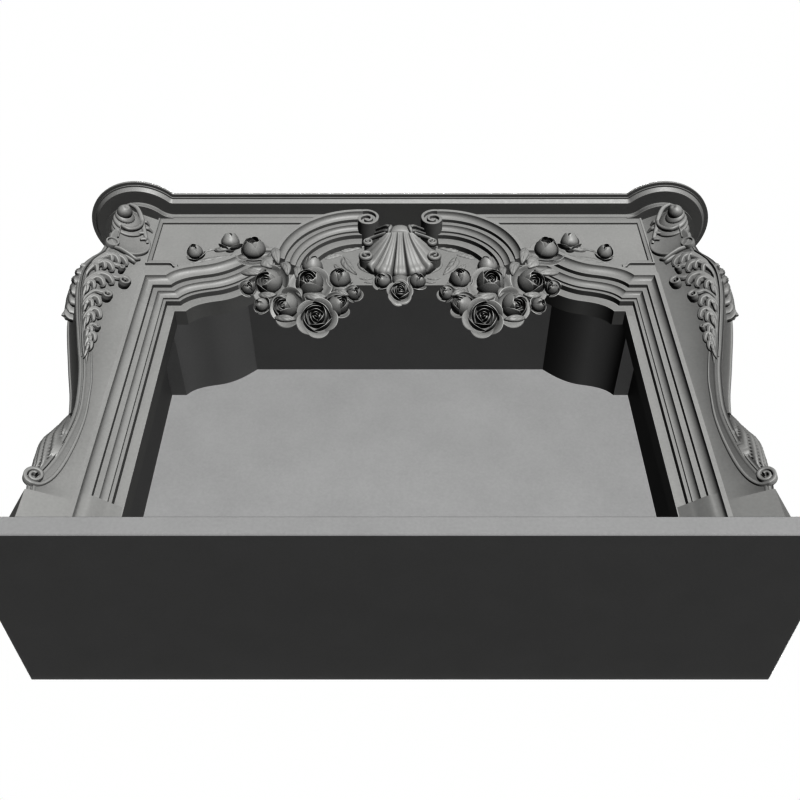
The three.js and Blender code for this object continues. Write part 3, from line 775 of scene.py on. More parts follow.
class MANTEL_OT_arches(bpy.types.Operator):
    """Makes the two halves of the broken arch, each ending in a scroll"""

    bl_idname = "mantel.arches"
    bl_label = "Arches"

    def execute(self, context):
        build_pair("arch", [arch_moulding(), *volute()])
        return {"FINISHED"}


# Shell

SHELL_NECK_HALF = 37.0
SHELL_LOBES = 5
# The fan's rim on one side: [lobes from the middle, across, height]
SHELL_RIM = np.array(
    [(0, 0, 914), (0.5, 21, 916), (1, 47, 922), (1.5, 73, 934), (2, 97, 970), (2.5, 105, 1012)]
)
SHELL_RIM_Y = -137.0
# The rim's thick underside: [share of the depth back to the wall, drop]
SHELL_UNDER = [(0.12, -3), (0.35, -4), (0.7, -2), (1, 4)]


def shell_fan():
    """A fan of lobes. Across it runs a share in lobes and along it a length; each line starts at the neck
    and flares outwards to the rim. Grooves part the lobes, two fine ones run down each lobe, and the
    rounded ends of the lobes turn under to a thick rim."""
    flute = bpy.context.scene.stone_sizes.flute / MM
    half = SHELL_LOBES / 2
    lobe = np.linspace(-half, half, SHELL_LOBES * 26 + 1)[:, None]
    t = np.linspace(0, 1, 40)[None, :]
    phase = lobe - np.round(lobe)
    round_end = np.sqrt(np.maximum(0, 1 - (2 * phase) ** 2))
    rim_x = np.sign(lobe) * np.interp(np.abs(lobe), SHELL_RIM[:, 0], SHELL_RIM[:, 1])
    rim_z = np.interp(np.abs(lobe), SHELL_RIM[:, 0], SHELL_RIM[:, 2])
    reach = t * (0.88 + 0.12 * round_end)
    neck_x = SHELL_NECK_HALF * lobe / half
    neck_z = SHELL_NECK[1] - 3 * (lobe / half) ** 2
    outer = np.abs(lobe) / half
    x = neck_x + (rim_x - neck_x) * reach ** (1.45 - 0.35 * outer)
    z = neck_z + (rim_z - neck_z) * (reach**0.9 + 0.35 * outer**2 * reach * (1 - reach))
    y = SHELL_NECK[0] + (SHELL_RIM_Y - SHELL_NECK[0]) * reach - 5 * np.sin(np.pi * reach) - 4 * reach**6
    parting = np.exp(-(((0.5 - np.abs(phase)) / 0.07) ** 2))
    fine = np.exp(-(((np.abs(phase) - 0.17) / 0.04) ** 2))
    y = y + (2 + flute * reach) * parting + 1.6 * fine * np.sqrt(reach) - 5 * reach * (round_end - 1)
    y = y - 4 * np.exp(-(((reach - 0.93) / 0.09) ** 2)) * round_end
    front = np.stack([x, y, z], -1)
    last = front[:, -1:]
    depth = LIP_Y - last[..., 1:2]
    under = [last + depth * [0, share, 0] + [0, 0, drop] for share, drop in SHELL_UNDER]
    crown = front[:, :1] * [1, 0, 1] + [0, LIP_Y, 0]
    return grid(np.concatenate([crown, front, *under], 1), ring_cols=True, ends=True)


# The collar: its pad over the neck, and on the left its curled corner and the strips to the scroll
COLLAR_PAD = [(0, -172, 1056), (0, -182, 1052), (0, -187, 1043), (0, -187, 1033), (0, -183, 1022)]
COLLAR_STEM = [(-18, 1046), (18, 1046), (18, 1020), (-18, 1020)]
COLLAR_HORN = [
    *[(-30, -186, 1022), (-27, -194, 1031), (-24, -195, 1040)],
    *[(-25, -193, 1047), (-29, -188, 1051)],
]
COLLAR_STRIPS = [
    [(-22, -187, 1050), (-34, -182, 1064), (-48, -166, 1080), (-66, -146, 1098)],
    [(-22, -188, 1030), (-36, -182, 1042), (-50, -166, 1060), (-66, -146, 1080)],
]
# The small ear beside the neck, on its shoulder, and the curled end of the outer lobe
EAR_SHOULDER = [(-36, -190, 1020), (-50, -184, 1020), (-66, -175, 1024)]
EAR = np.array([-82.0, -166.0, 1012.0])
CURL = np.array([-86.0, -151.0, 971.0])
CURL_BACK_Y = -128.0


def shell_collar():
    """The pad that clasps the neck, a band that widens downwards, and the stem that carries it."""
    t = np.linspace(0, 1, 24)
    width = np.interp(t, [0, 0.1, 0.4, 0.75, 1], [26, 36, 42, 54, 58])
    depth = np.interp(t, [0, 0.15, 0.5, 0.85, 1], [8, 16, 22, 20, 10])
    pad = carried(smooth_line(COLLAR_PAD, 24), rounded(24, 32, width, depth), (0, -1, 0))
    return [pad, slab(COLLAR_STEM, -178, RECESS_Y)]


def shell_spiral(centre, radius, eye, first, turns, rise):
    """A spiral that starts some turns past its top, winds inwards from its radius to its eye, and comes
    forward by its rise."""
    t = np.linspace(0, 1, 60)
    angle = 2 * np.pi * (first + turns * t)
    reach = radius + (eye - radius) * t
    x, y, z = centre
    return np.column_stack([x - reach * np.sin(angle), y - rise * t, z + reach * np.cos(angle)])


def shell_side():
    """What stands beside the fan on the left: the collar's corner and strips, the ear and the curled lobe,
    each scroll a band wound on a drum."""
    forms = [ribbon(COLLAR_HORN, 30, [6, 11, 10, 8, 3], [10, 13, 12, 9, 4])]
    forms += [ribbon(line, 30, [9, 10, 8, 7], [8, 9, 8, 8]) for line in COLLAR_STRIPS]
    ear = np.vstack([EAR_SHOULDER, shell_spiral(EAR, 12, 3, 0.12, 1.5, 3)])
    forms.append(ribbon(ear, 90, [6, 9, 8, 7, 6, 5], [12, 14, 14, 14, 13, 12]))
    forms.append(drum(EAR[[0, 2]], 11, EAR[1] + 2, LIP_Y))
    curl = shell_spiral(CURL, 20, 5, -0.2, 1.7, 5)
    forms.append(ribbon(curl, 100, [3, 9, 9, 8, 7, 6], [8, 13, 14, 14, 14, 14]))
    forms.append(drum(CURL[[0, 2]], 19, CURL[1] + 2, CURL_BACK_Y))
    return forms


class MANTEL_OT_shell(bpy.types.Operator):
    """Makes the fluted shell between the two scrolls"""

    bl_idname = "mantel.shell"
    bl_label = "Shell"

    def execute(self, context):
        build("shell", [shell_fan(), *shell_collar(), *both_sides(shell_side())], crease=50)
        return {"FINISHED"}


# Roses


def facing_frame(facing, spin):
    """Axes of a flower: its third axis is the way it faces, and spin turns it about that axis."""
    axis = unit(np.array(facing, float))
    side = unit(np.cross((0, 0, 1) if abs(axis[2]) < 0.9 else (0, 1, 0), axis))
    up = np.cross(axis, side)
    c, s = math.cos(spin), math.sin(spin)
    return np.stack([side * c + up * s, up * c - side * s, axis])


def petal(base, belly, rim, middle, half, curl, tuck, thickness):
    """One petal as a thin closed sheet. Its profile from base to rim is a quadratic curve in [radius,
    height], its width is an angle about the flower's axis, its rim is rounded and rolls outwards, and
    one edge tucks inside its neighbour."""
    u = np.linspace(-1, 1, 15)[None, :]
    v = np.linspace(0, 1, 11)[:, None]
    t = v * (1 - 0.22 * np.abs(u) ** 2.6)
    base, belly, rim = (np.asarray(p, float) for p in (base, belly, rim))
    radius = base[0] * (1 - t) ** 2 + 2 * belly[0] * t * (1 - t) + rim[0] * t**2
    height = base[1] * (1 - t) ** 2 + 2 * belly[1] * t * (1 - t) + rim[1] * t**2
    roll = np.maximum(0, t - 0.7) / 0.3
    radius = radius * (1 + tuck * u) + curl * roll**2
    height = height - 0.35 * curl * roll**3
    angle = middle + u * half * (0.45 + 0.55 * np.sin(np.pi * (0.12 + 0.6 * v)))
    wall = thickness * (1 - u**4) * (0.6 + 0.4 * np.sin(np.pi * v))
    outer = np.stack([radius * np.cos(angle), radius * np.sin(angle), height + 0 * angle], -1)
    inner_radius = np.maximum(radius - wall, 0.01)
    inner = np.stack([inner_radius * np.cos(angle), inner_radius * np.sin(angle), height + 0.3 * wall], -1)
    return grid(np.concatenate([outer, inner[::-1]]), ring_rows=True)


# Rows of petals: [petals, base, belly, rim, half width in turns, roll], in shares of the flower's size
OPEN_ROWS = [
    [5, (0.2, -0.7), (1.15, -0.8), (1.14, -0.1), 0.135, 0.24],
    [4, (0.2, -0.6), (1.32, -0.5), (0.86, 0.45), 0.15, 0.04],
    [4, (0.18, -0.5), (1.02, -0.35), (0.62, 0.62), 0.15, 0.03],
    [3, (0.14, -0.4), (0.72, -0.25), (0.42, 0.66), 0.19, 0.02],
    [3, (0.1, -0.3), (0.46, -0.15), (0.24, 0.6), 0.19, 0.02],
    [2, (0.06, -0.2), (0.24, 0), (0.1, 0.62), 0.25, 0.01],
]
GLOBE_ROWS = [
    [4, (0.2, -0.75), (1.42, -0.85), (1.4, -0.36), 0.15, 0.16],
    [4, (0.2, -0.85), (1.58, -0.55), (0.6, 0.74), 0.165, 0.03],
    [4, (0.2, -0.6), (1.12, -0.35), (0.5, 0.7), 0.16, 0.03],
    [3, (0.15, -0.45), (0.78, -0.3), (0.36, 0.56), 0.19, 0.02],
    [3, (0.1, -0.35), (0.46, -0.2), (0.2, 0.46), 0.19, 0.01],
    [2, (0.05, -0.2), (0.2, 0), (0.08, 0.4), 0.25, 0.01],
]
BUD_ROWS = [
    [3, (0.2, -0.85), (1.15, -0.9), (1.1, -0.2), 0.16, 0.1],
    [3, (0.18, -0.85), (1.5, -0.4), (0.44, 0.8), 0.2, 0.03],
    [3, (0.14, -0.6), (1.0, -0.2), (0.34, 0.78), 0.19, 0.03],
    [3, (0.12, -0.5), (0.66, -0.15), (0.24, 0.68), 0.19, 0.02],
    [2, (0.1, -0.4), (0.34, -0.1), (0.1, 0.6), 0.27, 0.01],
]
SAUCER_ROWS = [[4, (0.3, -0.55), (1.35, -0.62), (1.62, -0.2), 0.15, 0.12]]


def flower(rows, place, size, facing, spin=0.0):
    """A rose: rows of petals round its axis on a round knob, each row turned against the one outside it."""
    thickness = bpy.context.scene.stone_sizes.petal / MM / size
    axes = facing_frame(facing, spin)
    polar = np.linspace(0, np.pi, 12)[:, None]
    around = np.linspace(0, 2 * np.pi, 20, endpoint=False)[None, :]
    knob = [np.sin(polar) * np.cos(around), np.sin(polar) * np.sin(around), np.cos(polar) + 0 * around]
    core, faces = grid(0.62 * np.stack(knob, -1) - [0, 0, 0.62], ring_cols=True)
    forms = [(np.array(place) + size * core @ axes, faces)]
    for row, (count, base, belly, rim, half, curl) in enumerate(rows):
        for k in range(count):
            uneven = math.sin(7 * k + 3 * row)
            middle = 2 * np.pi * (k / count + 0.381966 * row + 0.02 * uneven)
            points, faces = petal(base, belly, rim, middle, half * 2 * np.pi, curl, 0.07, thickness)
            forms.append((np.array(place) + size * (1 + 0.04 * uneven) * points @ axes, faces))
    return forms


# The roses of one side: [kind, place, size, the way it faces]
GARLAND = [
    [GLOBE_ROWS, (-325, -172, 840), 34, (-0.37, -0.8, -0.45)],
    [GLOBE_ROWS, (-224, -174, 838), 35, (-0.04, -0.94, -0.3)],
    [OPEN_ROWS, (-197, -178, 698), 36, (0.05, -0.82, -0.57)],
    [GLOBE_ROWS, (-277, -168, 754), 32, (-0.4, -0.74, -0.54)],
    [BUD_ROWS, (-150, -168, 862), 28, (0.1, -0.98, -0.08)],
    [BUD_ROWS, (-147.5, -166, 762), 30, (0.5, -0.8, -0.3)],
    [BUD_ROWS, (-112.5, -158, 816), 20, (0.3, -0.85, -0.4)],
    [BUD_ROWS, (-377, -152, 844), 20, (0.2, -0.85, -0.4)],
    [BUD_ROWS, (-337.5, -158, 769), 20, (-0.4, -0.8, -0.35)],
    [BUD_ROWS, (-226, -142, 948), 28, (0.1, -0.9, 0.42)],
    [GLOBE_ROWS, (-376, -176, 975), 31, (0, -0.98, 0.2)],
    [SAUCER_ROWS, (-376, -170, 972), 31, (-0.05, -0.99, 0.05)],
    [BUD_ROWS, (-441, -170, 1013), 26, (0, -0.83, 0.55)],
    [BUD_ROWS, (-526, -168, 971), 22, (-0.1, -0.97, 0.1)],
]
PENDANT = [
    [OPEN_ROWS, (0, -162, 817), 24, (0, -0.9, -0.44)],
    [SAUCER_ROWS, (0, -155, 810), 16, (0, -0.66, -0.75)],
    [BUD_ROWS, (-45, -152, 873), 22, (-0.25, -0.9, -0.2)],
    [BUD_ROWS, (45, -152, 873), 22, (0.25, -0.9, -0.2)],
]

# Stalks of stone that carry the roses, behind them: [line, width]
STALKS = [
    [[(-310, -118, 915), (-318, -135, 880), (-325, -145, 850)], 40],
    [[(-224, -118, 915), (-224, -138, 880), (-224, -148, 850)], 40],
    [[(-300, -138, 850), (-285, -148, 800), (-277, -145, 775)], 34],
    [[(-224, -140, 840), (-205, -150, 780), (-198, -152, 730)], 34],
    [[(-150, -118, 915), (-150, -135, 890), (-150, -145, 870)], 30],
    [[(-150, -140, 860), (-149, -145, 810), (-148, -145, 780)], 28],
    [[(-125, -130, 870), (-114, -142, 830)], 18],
    [[(-350, -125, 890), (-375, -138, 855)], 18],
    [[(-325, -135, 830), (-336, -142, 785)], 18],
]
PENDANT_STALKS = [
    [[(0, -118, 925), (0, -135, 880), (0, -145, 838)], 26],
    [[(-45, -118, 915), (-45, -135, 885)], 22],
    [[(45, -118, 915), (45, -135, 885)], 22],
]

# Leaves that fill the bunch, seen from the front and from below: [spine, width, rise]
BUNCH_LEAVES = [
    [[(-317, -198, 945), (-311, -200, 918), (-302, -194, 884)], 24, 4],
    [[(-346, -182, 918), (-334, -184, 905), (-320, -180, 886)], 34, 4],
    [[(-296, -190, 893), (-281, -194, 872), (-276, -190, 842)], 24, 5],
    [[(-262, -172, 900), (-256, -178, 880), (-256, -176, 850)], 20, 4],
    [[(-400, -158, 898), (-372, -166, 888), (-345, -166, 880)], 22, 4],
    [[(-346, -160, 806), (-322, -166, 796), (-300, -168, 796)], 20, 5],
    [[(-258, -172, 812), (-246, -180, 792), (-238, -180, 768)], 20, 5],
    [[(-234, -168, 796), (-206, -174, 780), (-176, -170, 786)], 22, 5],
    [[(-298, -162, 716), (-270, -170, 704), (-246, -168, 702)], 20, 5],
    [[(-160, -162, 822), (-142, -168, 804), (-124, -164, 796)], 18, 5],
]
# Low leaves that lie on the frieze, and in the space under the arch: [spine, width, rise]
FRIEZE_LEAVES = [
    [[(-536, -151, 940), (-505, -151, 950), (-470, -151, 962), (-436, -151, 975)], 26, 3.5],
    [[(-484, -151, 940), (-462, -151, 950), (-432, -151, 974)], 20, 4.5],
    [[(-446, -151, 938), (-434, -152, 960), (-424, -152, 990)], 24, 5],
    [[(-512, -151, 986), (-498, -151, 998), (-478, -151, 1003), (-460, -151, 996)], 8, 3],
    [[(-576, -151, 912), (-564, -151, 920), (-549, -151, 931)], 20, 4],
    [[(-480, -158, 990), (-458, -164, 986), (-430, -166, 990)], 18, 6],
]
TYMPANUM_LEAVES = [
    [[(-156, -113, 1046), (-128, -113, 1058), (-92, -113, 1068)], 22, 4],
    [[(-198, -113, 1014), (-176, -113, 1026), (-150, -113, 1030)], 20, 3.5],
    [[(-150, -113, 1022), (-138, -113, 985), (-112, -113, 944)], 26, 5],
    [[(-108, -113, 1000), (-98, -113, 975), (-80, -113, 952)], 18, 4],
    [[(-104, -113, 930), (-88, -113, 926), (-70, -113, 928)], 7, 3],
    [[(-92, -113, 914), (-78, -113, 912), (-62, -113, 914)], 6, 3],
    [[(-172, -113, 990), (-158, -113, 972), (-140, -113, 960)], 16, 3.5],
]


def garland_leaves():
    """The leaves of one side: those in the bunch face the front and a little down, the others lie flat."""
    bunch = [leaf(spine, width, (0, -0.94, -0.34), rise, cut=0.08) for spine, width, rise in BUNCH_LEAVES]
    flat = FRIEZE_LEAVES + TYMPANUM_LEAVES
    return bunch + [leaf(spine, width, (0, -1, 0), rise, cut=0.15) for spine, width, rise in flat]


def flowers(bunch, stalks):
    """The roses of a bunch, each turned a little further than the last, on their stalks."""
    forms = [ribbon(line, 20, [1.7 * width, width], [1.2 * width, 0.8 * width]) for line, width in stalks]
    for k, (rows, place, size, facing) in enumerate(bunch):
        forms += flower(rows, place, size, facing, spin=2.4 * k)
    return forms


class MANTEL_OT_roses(bpy.types.Operator):
    """Makes the garlands of roses and the three roses below the shell"""

    bl_idname = "mantel.roses"
    bl_label = "Roses"

    def execute(self, context):
        build_pair("garland", flowers(GARLAND, STALKS) + garland_leaves())
        build("pendant_roses", flowers(PENDANT, PENDANT_STALKS))
        return {"FINISHED"}


# Jambs


def on_console(points):
    """Points of the left console, [out along its side, back through its thickness, height], in the room."""
    out, back, z = np.moveaxis(np.asarray(points, float), -1, 0)
    c, s = math.cos(CANT), math.sin(CANT)
    return np.stack([-CONSOLE_X - out * c - back * s, FACE_Y - out * s + back * c, z], -1)


CONSOLE_FRONT = np.array([math.sin(CANT), -math.cos(CANT), 0])

# The console's outer edge: [height, distance out], an S from the plinth to the neck under the shelf
CONSOLE_EDGE = [
    [PLINTH_Z, 90],
    [190, 92],
    [215, 82],
    [260, 68],
    [320, 58],
    [385, 53],
    [440, 57],
    [520, 71],
    [600, 93],
    [720, 125],
    [780, 137],
    [830, 142],
    [870, 139],
    [900, 128],
    [930, 113],
    [960, 108],
    [1060, 92],
    [NECK_Z, 84],
]

# The console's section from the frame to the edge and round the narrow face: [from the edge, back]
CONSOLE_SECTION = [
    *bow((-18, 0), (-11, -2), -0.1, 5),
    [-10.5, 1.5],
    [-8.5, 1.5],
    *bow((-8, -2), (0, 0), 0.35, 6),
    [0, 8],
    [-3, 10],
    [-4, 14],
    [-4, 96],
    [-3, 100],
    [0, 102],
    [0, 109],
    [-1, 110],
]


def console_body():
    """The console's stone: at each height the section is drawn from the edge at that height."""
    edge = smooth_line(CONSOLE_EDGE, 160)
    section = np.array(CONSOLE_SECTION, float)
    out = edge[:, 1:] + section[:, 0]
    back = np.broadcast_to(section[:, 1], out.shape)
    inner = np.full((len(edge), 1), -1.0)
    out = np.concatenate([inner, out, inner], 1)
    back = np.concatenate([inner * 0, back, inner * 0 + CONSOLE_THICKNESS], 1)
    z = np.broadcast_to(edge[:, :1], out.shape)
    return grid(on_console(np.stack([out, back, z], -1)), ring_cols=True, ends=True)


def neck_ring():
    """The round neck under the lobe: the wall's line round the lobe, moulded and closed below."""
    profile = [
        (SHELF_OVERHANG, SOFFIT_Z - GAP),
        (SHELF_OVERHANG, 1153),
        (SHELF_OVERHANG - 7, 1141),
        (SHELF_OVERHANG - 7, NECK_Z),
        (SHELF_OVERHANG + 30, NECK_Z),
        (SHELF_OVERHANG + 30, SOFFIT_Z - GAP),
    ]
    line = np.stack([shelf_line(inset)[1:52] for inset, _ in profile], 1)
    z = np.broadcast_to([z for _, z in profile], line.shape[:2])
    points = np.stack([-line[..., 0], line[..., 1], z], -1)
    return grid(points, ring_cols=True, ends=True)


# The side return that the jamb meets
RETURN_OUTER_X = -738.0
RETURN_INNER_X = -698.0
RETURN_FRONT_Y = -45.0


def jamb_core():
    """The stone behind the frame and the turned console, out to the side return, below and above the
    lintel's bearing."""
    front, rear = on_console([[12, 2, 0], [46, CONSOLE_THICKNESS - 6, 0]])[:, :2]
    back = RETURN_FRONT_Y - GAP
    outer = [front, rear, [RETURN_OUTER_X, back], [RETURN_INNER_X, back], [-CONSOLE_X - 22, LIP_BACK_Y]]
    spans = [
        (-CONSOLE_X + 3, HEARTH_TOP + GAP, BEARING_Z - GAP),
        (-CONSOLE_X - GAP, BEARING_Z - 1, SOFFIT_Z - GAP),
    ]
    return [post([[x, FACE_Y + 1], *outer, [x, LIP_BACK_Y]], low, high) for x, low, high in spans]


# The hollow of the stop, just before the mouldings: [distance from the opening, depth behind the face]
SCOOP = [(77.2, -15.2), (74, -8), (66, -3.5), (57.9, -1), (44.8, 8), (30.5, 19), (22.7, 24), (3, 38)]


def frame_upright():
    """The frame's side below the bearing, and the scooped block that ends its mouldings."""
    section = [[-OPENING_HALF - out, FACE_Y + depth] for out, depth in FRAME_PROFILE]
    section += [[-CONSOLE_X, LIP_BACK_Y], [-OPENING_HALF, LIP_BACK_Y]]
    floor = HEARTH_TOP + GAP
    scoop = [[-OPENING_HALF - out, FACE_Y + depth] for out, depth in smooth_line(SCOOP, 24)]
    behind = [[-OPENING_HALF - 3, LIP_Y + 6], [-CONSOLE_X + 6, LIP_Y + 6], [-CONSOLE_X + 6, scoop[0][1]]]
    return [post(section, floor, BEARING_Z), post(scoop + behind, floor, STOP_Z)]


PLINTH_SPLAY = 17.0


def plinth():
    """The console's foot block, a little wider at its back."""
    low = HEARTH_TOP + GAP
    rows = []
    for back, wider in ((-2, 0), (CONSOLE_THICKNESS + 4, PLINTH_SPLAY)):
        out = wider + np.array([91, 93, 93, 90])
        z = [low, low + 2, PLINTH_Z - 3, PLINTH_Z]
        outer = np.column_stack([out, np.full(4, back), z])
        rows.append(np.vstack([[-1, back, low], outer, [-1, back, PLINTH_Z]]))
    return grid(on_console(rows), ring_cols=True, ends=True)


class MANTEL_OT_jambs(bpy.types.Operator):
    """Makes the two jambs: the frame's upright, the canted console, its neck and its plinth"""

    bl_idname = "mantel.jambs"
    bl_label = "Jambs"

    def execute(self, context):
        left = [*frame_upright(), *jamb_core(), console_body(), plinth(), neck_ring()]
        build_pair("jamb_stone", left, "jamb")
        return {"FINISHED"}


# Console carving


def console_band(points, count, width, depth, sides=14, grooves=0, cut=0.0):
    """A rounded band along a smooth line of [out, back, height] points on the console's side."""
    return ribbon(on_console(points), count, width, depth, CONSOLE_FRONT, sides, grooves, cut)


def edge_at(z):
    """How far out the console's edge is at a height."""
    height, out = np.array(CONSOLE_EDGE).T
    return np.interp(z, height, out)


def scroll_points(centre, radius, first, turns, back, count=16, close=0.25):
    """A spiral on the console's side, wound inwards and downwards from an angle past its top."""
    t = np.linspace(0, 1, count)
    angle = math.radians(first) + 2 * np.pi * turns * t
    reach = radius * (1 - (1 - close) * t)
    out = centre[0] - reach * np.sin(angle)
    z = centre[1] + reach * np.cos(angle)
    return np.column_stack([out, np.full(count, back), z])


# The acanthus lobe by lobe: its fingers' tips, [out, height], from the longest, and the first one's curl
ACANTHUS = [
    [[(46, 906), (64, 902), (80, 902)], 0],
    [[(52, 874), (72, 868), (90, 868), (104, 846)], 7],
    [[(37, 829), (63, 822), (80, 804), (98, 784), (110, 766)], 16],
    [[(65, 761), (74, 735), (88, 718), (101, 700)], 13],
    [[(64, 693), (75, 676), (86, 660)], 0],
    [[(61, 646), (70, 631), (78, 618)], 5],
    [[(58, 613), (66, 600)], 0],
    [[(60, 584), (67, 571)], 0],
    [[(67, 556)], 0],
]
STEM_INSET = 17.0  # the stem's line inside the console's edge


def finger(tip, curl):
    """One finger of a lobe: a band that runs up beside the stem, bends over, and droops or curls at its
    tip. The further it reaches, the lower it leaves the stem."""
    tip_out, tip_z = tip
    reach = edge_at(tip_z) - STEM_INSET - tip_out
    drop = 18 + 0.6 * reach
    low, middle = tip_z - drop, tip_z - 0.42 * drop
    stem = [edge_at(low) - STEM_INSET, -1, low], [edge_at(middle) - STEM_INSET - 0.05 * reach, -7, middle]
    line = [*stem, [tip_out + 0.55 * reach, -14, tip_z + 6], [tip_out + 0.2 * reach, -16, tip_z + 6]]
    if curl:
        end = scroll_points(tip, curl, -20, 1.2, -15, 14, 0.25)
        widths = np.array([4, 13, 13, 8, 7, 6.5, 6, 5])
    else:
        end = [[tip_out, -11, tip_z - 3], [tip_out + 1, -3, tip_z - 7]]
        widths = np.array([4, 13, 19, 19, 14, 4])
    size = min(1, 0.5 + reach / 90)
    depths = size * np.array([6, 14, 22, 24, 24, 16])
    return console_band(np.vstack([line, end]), 70, size * widths, depths, 24, 6, 0.08)


def acanthus():
    """The leaf that rides down the console's edge: lobe below lobe, each a fan of fingers, and two stems."""
    forms = []
    for tips, curl in ACANTHUS:
        forms += [finger(tip, 0 if k else curl) for k, tip in enumerate(tips)]
    z = np.linspace(940, 556, 9)
    for inset, width in ((STEM_INSET, 9), (STEM_INSET - 9, 6)):
        stem = np.column_stack([edge_at(z) - inset, np.full(9, -1), z])
        forms.append(console_band(stem, 80, [4, width, width, width, 3], [6, 13, 13, 11, 4], 16, 4, 0.08))
    return forms


# Leaves over the console's narrow face, from top to tip: [height, stand off the edge, half width]
UPPER_LEAF = [
    *[(950, 2, 8), (925, 9, 40), (890, 12, 54), (850, 11, 56)],
    *[(810, 9, 54), (770, 9, 40), (748, 14, 18), (730, 22, 4)],
]
FOOT_LEAF = [
    *[(436, 2, 6), (396, 16, 34), (358, 28, 52), (326, 38, 58)],
    *[(290, 34, 58), (258, 27, 50), (226, 18, 20)],
]


def edge_leaf(rows, lobes, slant, bump):
    """A leaf over the console's narrow face. It stands off the edge along its midrib and falls to the face
    at both sides; slanting lobes swell on it, scallop its sides and carry fine veins."""
    z, lift, half = (column[:, None] for column in smooth_line(rows, 110).T)
    v = np.linspace(0, 1, 110)[:, None]
    u = np.linspace(-1, 1, 65)[None, :]
    phase = lobes * v - slant * np.abs(u)
    swell = np.abs(np.sin(np.pi * phase)) ** 0.7
    side = np.abs(u)
    taper = np.sin(np.pi * (0.03 + 0.94 * v)) ** 0.5
    height = lift * (1 - side**2.6) + bump * taper * (swell * np.sqrt(side) - np.exp(-((u / 0.07) ** 2)))
    height = height + 0.2 * bump * taper * np.cos(8 * np.pi * phase) * side
    back = CONSOLE_THICKNESS / 2 + half * u * (1 - 0.2 * (1 - swell) * side)
    edge = edge_at(z) + 0 * u
    fall = z - 10 * side * (0.3 + swell)
    front = np.stack([edge + height, back, fall], -1)
    behind = np.stack([edge - 9, back, fall], -1)[:, ::-1]
    return grid(on_console(np.concatenate([front, behind], 1)), ring_cols=True, ends=True)


def turned(centre, profile, sides):
    """A round form on the console's side: a profile, [radius, back], turned round a centre, [out, z]."""
    angle = np.linspace(0, 2 * np.pi, sides, endpoint=False)
    radius, back = (np.array(column, float)[:, None] for column in zip(*profile))
    out, z = centre[0] + radius * np.cos(angle), centre[1] + radius * np.sin(angle)
    return grid(on_console(np.stack([out, back + 0 * angle, z], -1)), ring_cols=True, ends=True)


BOSS = (93.0, 973.0)
BOSS_PROFILE = [(17.5, 2), (17.5, -9), (16, -12), (12.5, -12), (11, -8), (4, -8.5), (0.01, -9)]
UPPER_STRAP = [(84, -4, 962), (66, -10, 952), (45, -11, 943), (26, -9, 936), (16, -7, 942)]
LOWER_STRAP = [(62, -6, 936), (48, -10, 930), (32, -11, 922), (24, -8, 920)]


def roundel():
    """The flat boss with a raised rim below the snail shell, and the forked straps that leave it."""
    return [
        turned(BOSS, BOSS_PROFILE, 40),
        console_band(UPPER_STRAP, 48, [10, 9, 9, 9, 6], [12, 15, 14, 12, 8]),
        console_band(LOWER_STRAP, 40, [6, 9, 9, 7], [10, 15, 14, 10]),
    ]


# The snail shell from its back to its small end: share of the way, out, height, radius, rise from the side
CONCH = np.array(
    [
        (0, 66, 1062, 44, -60),
        (0.4, 66, 1062, 45, -4),
        (0.6, 68, 1063, 44, 8),
        (0.8, 77, 1068, 35, 21),
        (1, 87, 1068, 20, 34),
    ]
)
WHORLS = 5


def conch():
    """The snail shell under the shelf: rings round an axis square to the console's side, from a drum
    through the console forward to the small end. Its whorls part along a helix, so each ring swells once."""
    way = np.linspace(0, 1, 110)[:, None]
    turn = np.linspace(0, 1, 80, endpoint=False)[None, :]
    out, z, radius, rise = (np.interp(way, CONCH[:, 0], CONCH[:, k]) for k in range(1, 5))
    whorl = (WHORLS * way + turn) % 1
    swell = np.sqrt(1 - (2 * whorl - 1) ** 2)
    reach = radius * (0.77 + 0.23 * swell)
    angle = 2 * np.pi * turn
    out, z = out + reach * np.cos(angle), z + reach * np.sin(angle)
    points = np.stack([out, 0 * angle - rise - 2 * swell, z], -1)
    return grid(on_console(points), ring_cols=True, ends=True)


BALL = (87.5, -40.0, 1067.0)
BALL_RADIUS = 19.5
CUP = (52.0, 1003.0)
CUP_PROFILE = [(52, 3), (52, -7), (49.92, -9), (45.76, -8), (36.4, -5), (15.6, -4), (0.52, -4)]
OUTER_BAND = [
    *[(83, -20, 1133), (62, -24, 1120), (45, -22, 1094)],
    *[(33, -16, 1066), (20, -12, 1036), (10, -9, 1012)],
]
INNER_BAND = [
    *[(42, -20, 1090), (38, -22, 1062), (48, -24, 1038)],
    *[(64, -24, 1026), (80, -22, 1030), (88, -18, 1038)],
]
CUP_STEM = [(86, -18, 1036), (85, -14, 1016), (84, -10, 996)]
# Small leaves along the outer band: [out, height, lean]
BAND_LEAVES = [(30, 1092, 12), (20, 1068, 15), (26, 1044, 10), (18, 1022, 8)]


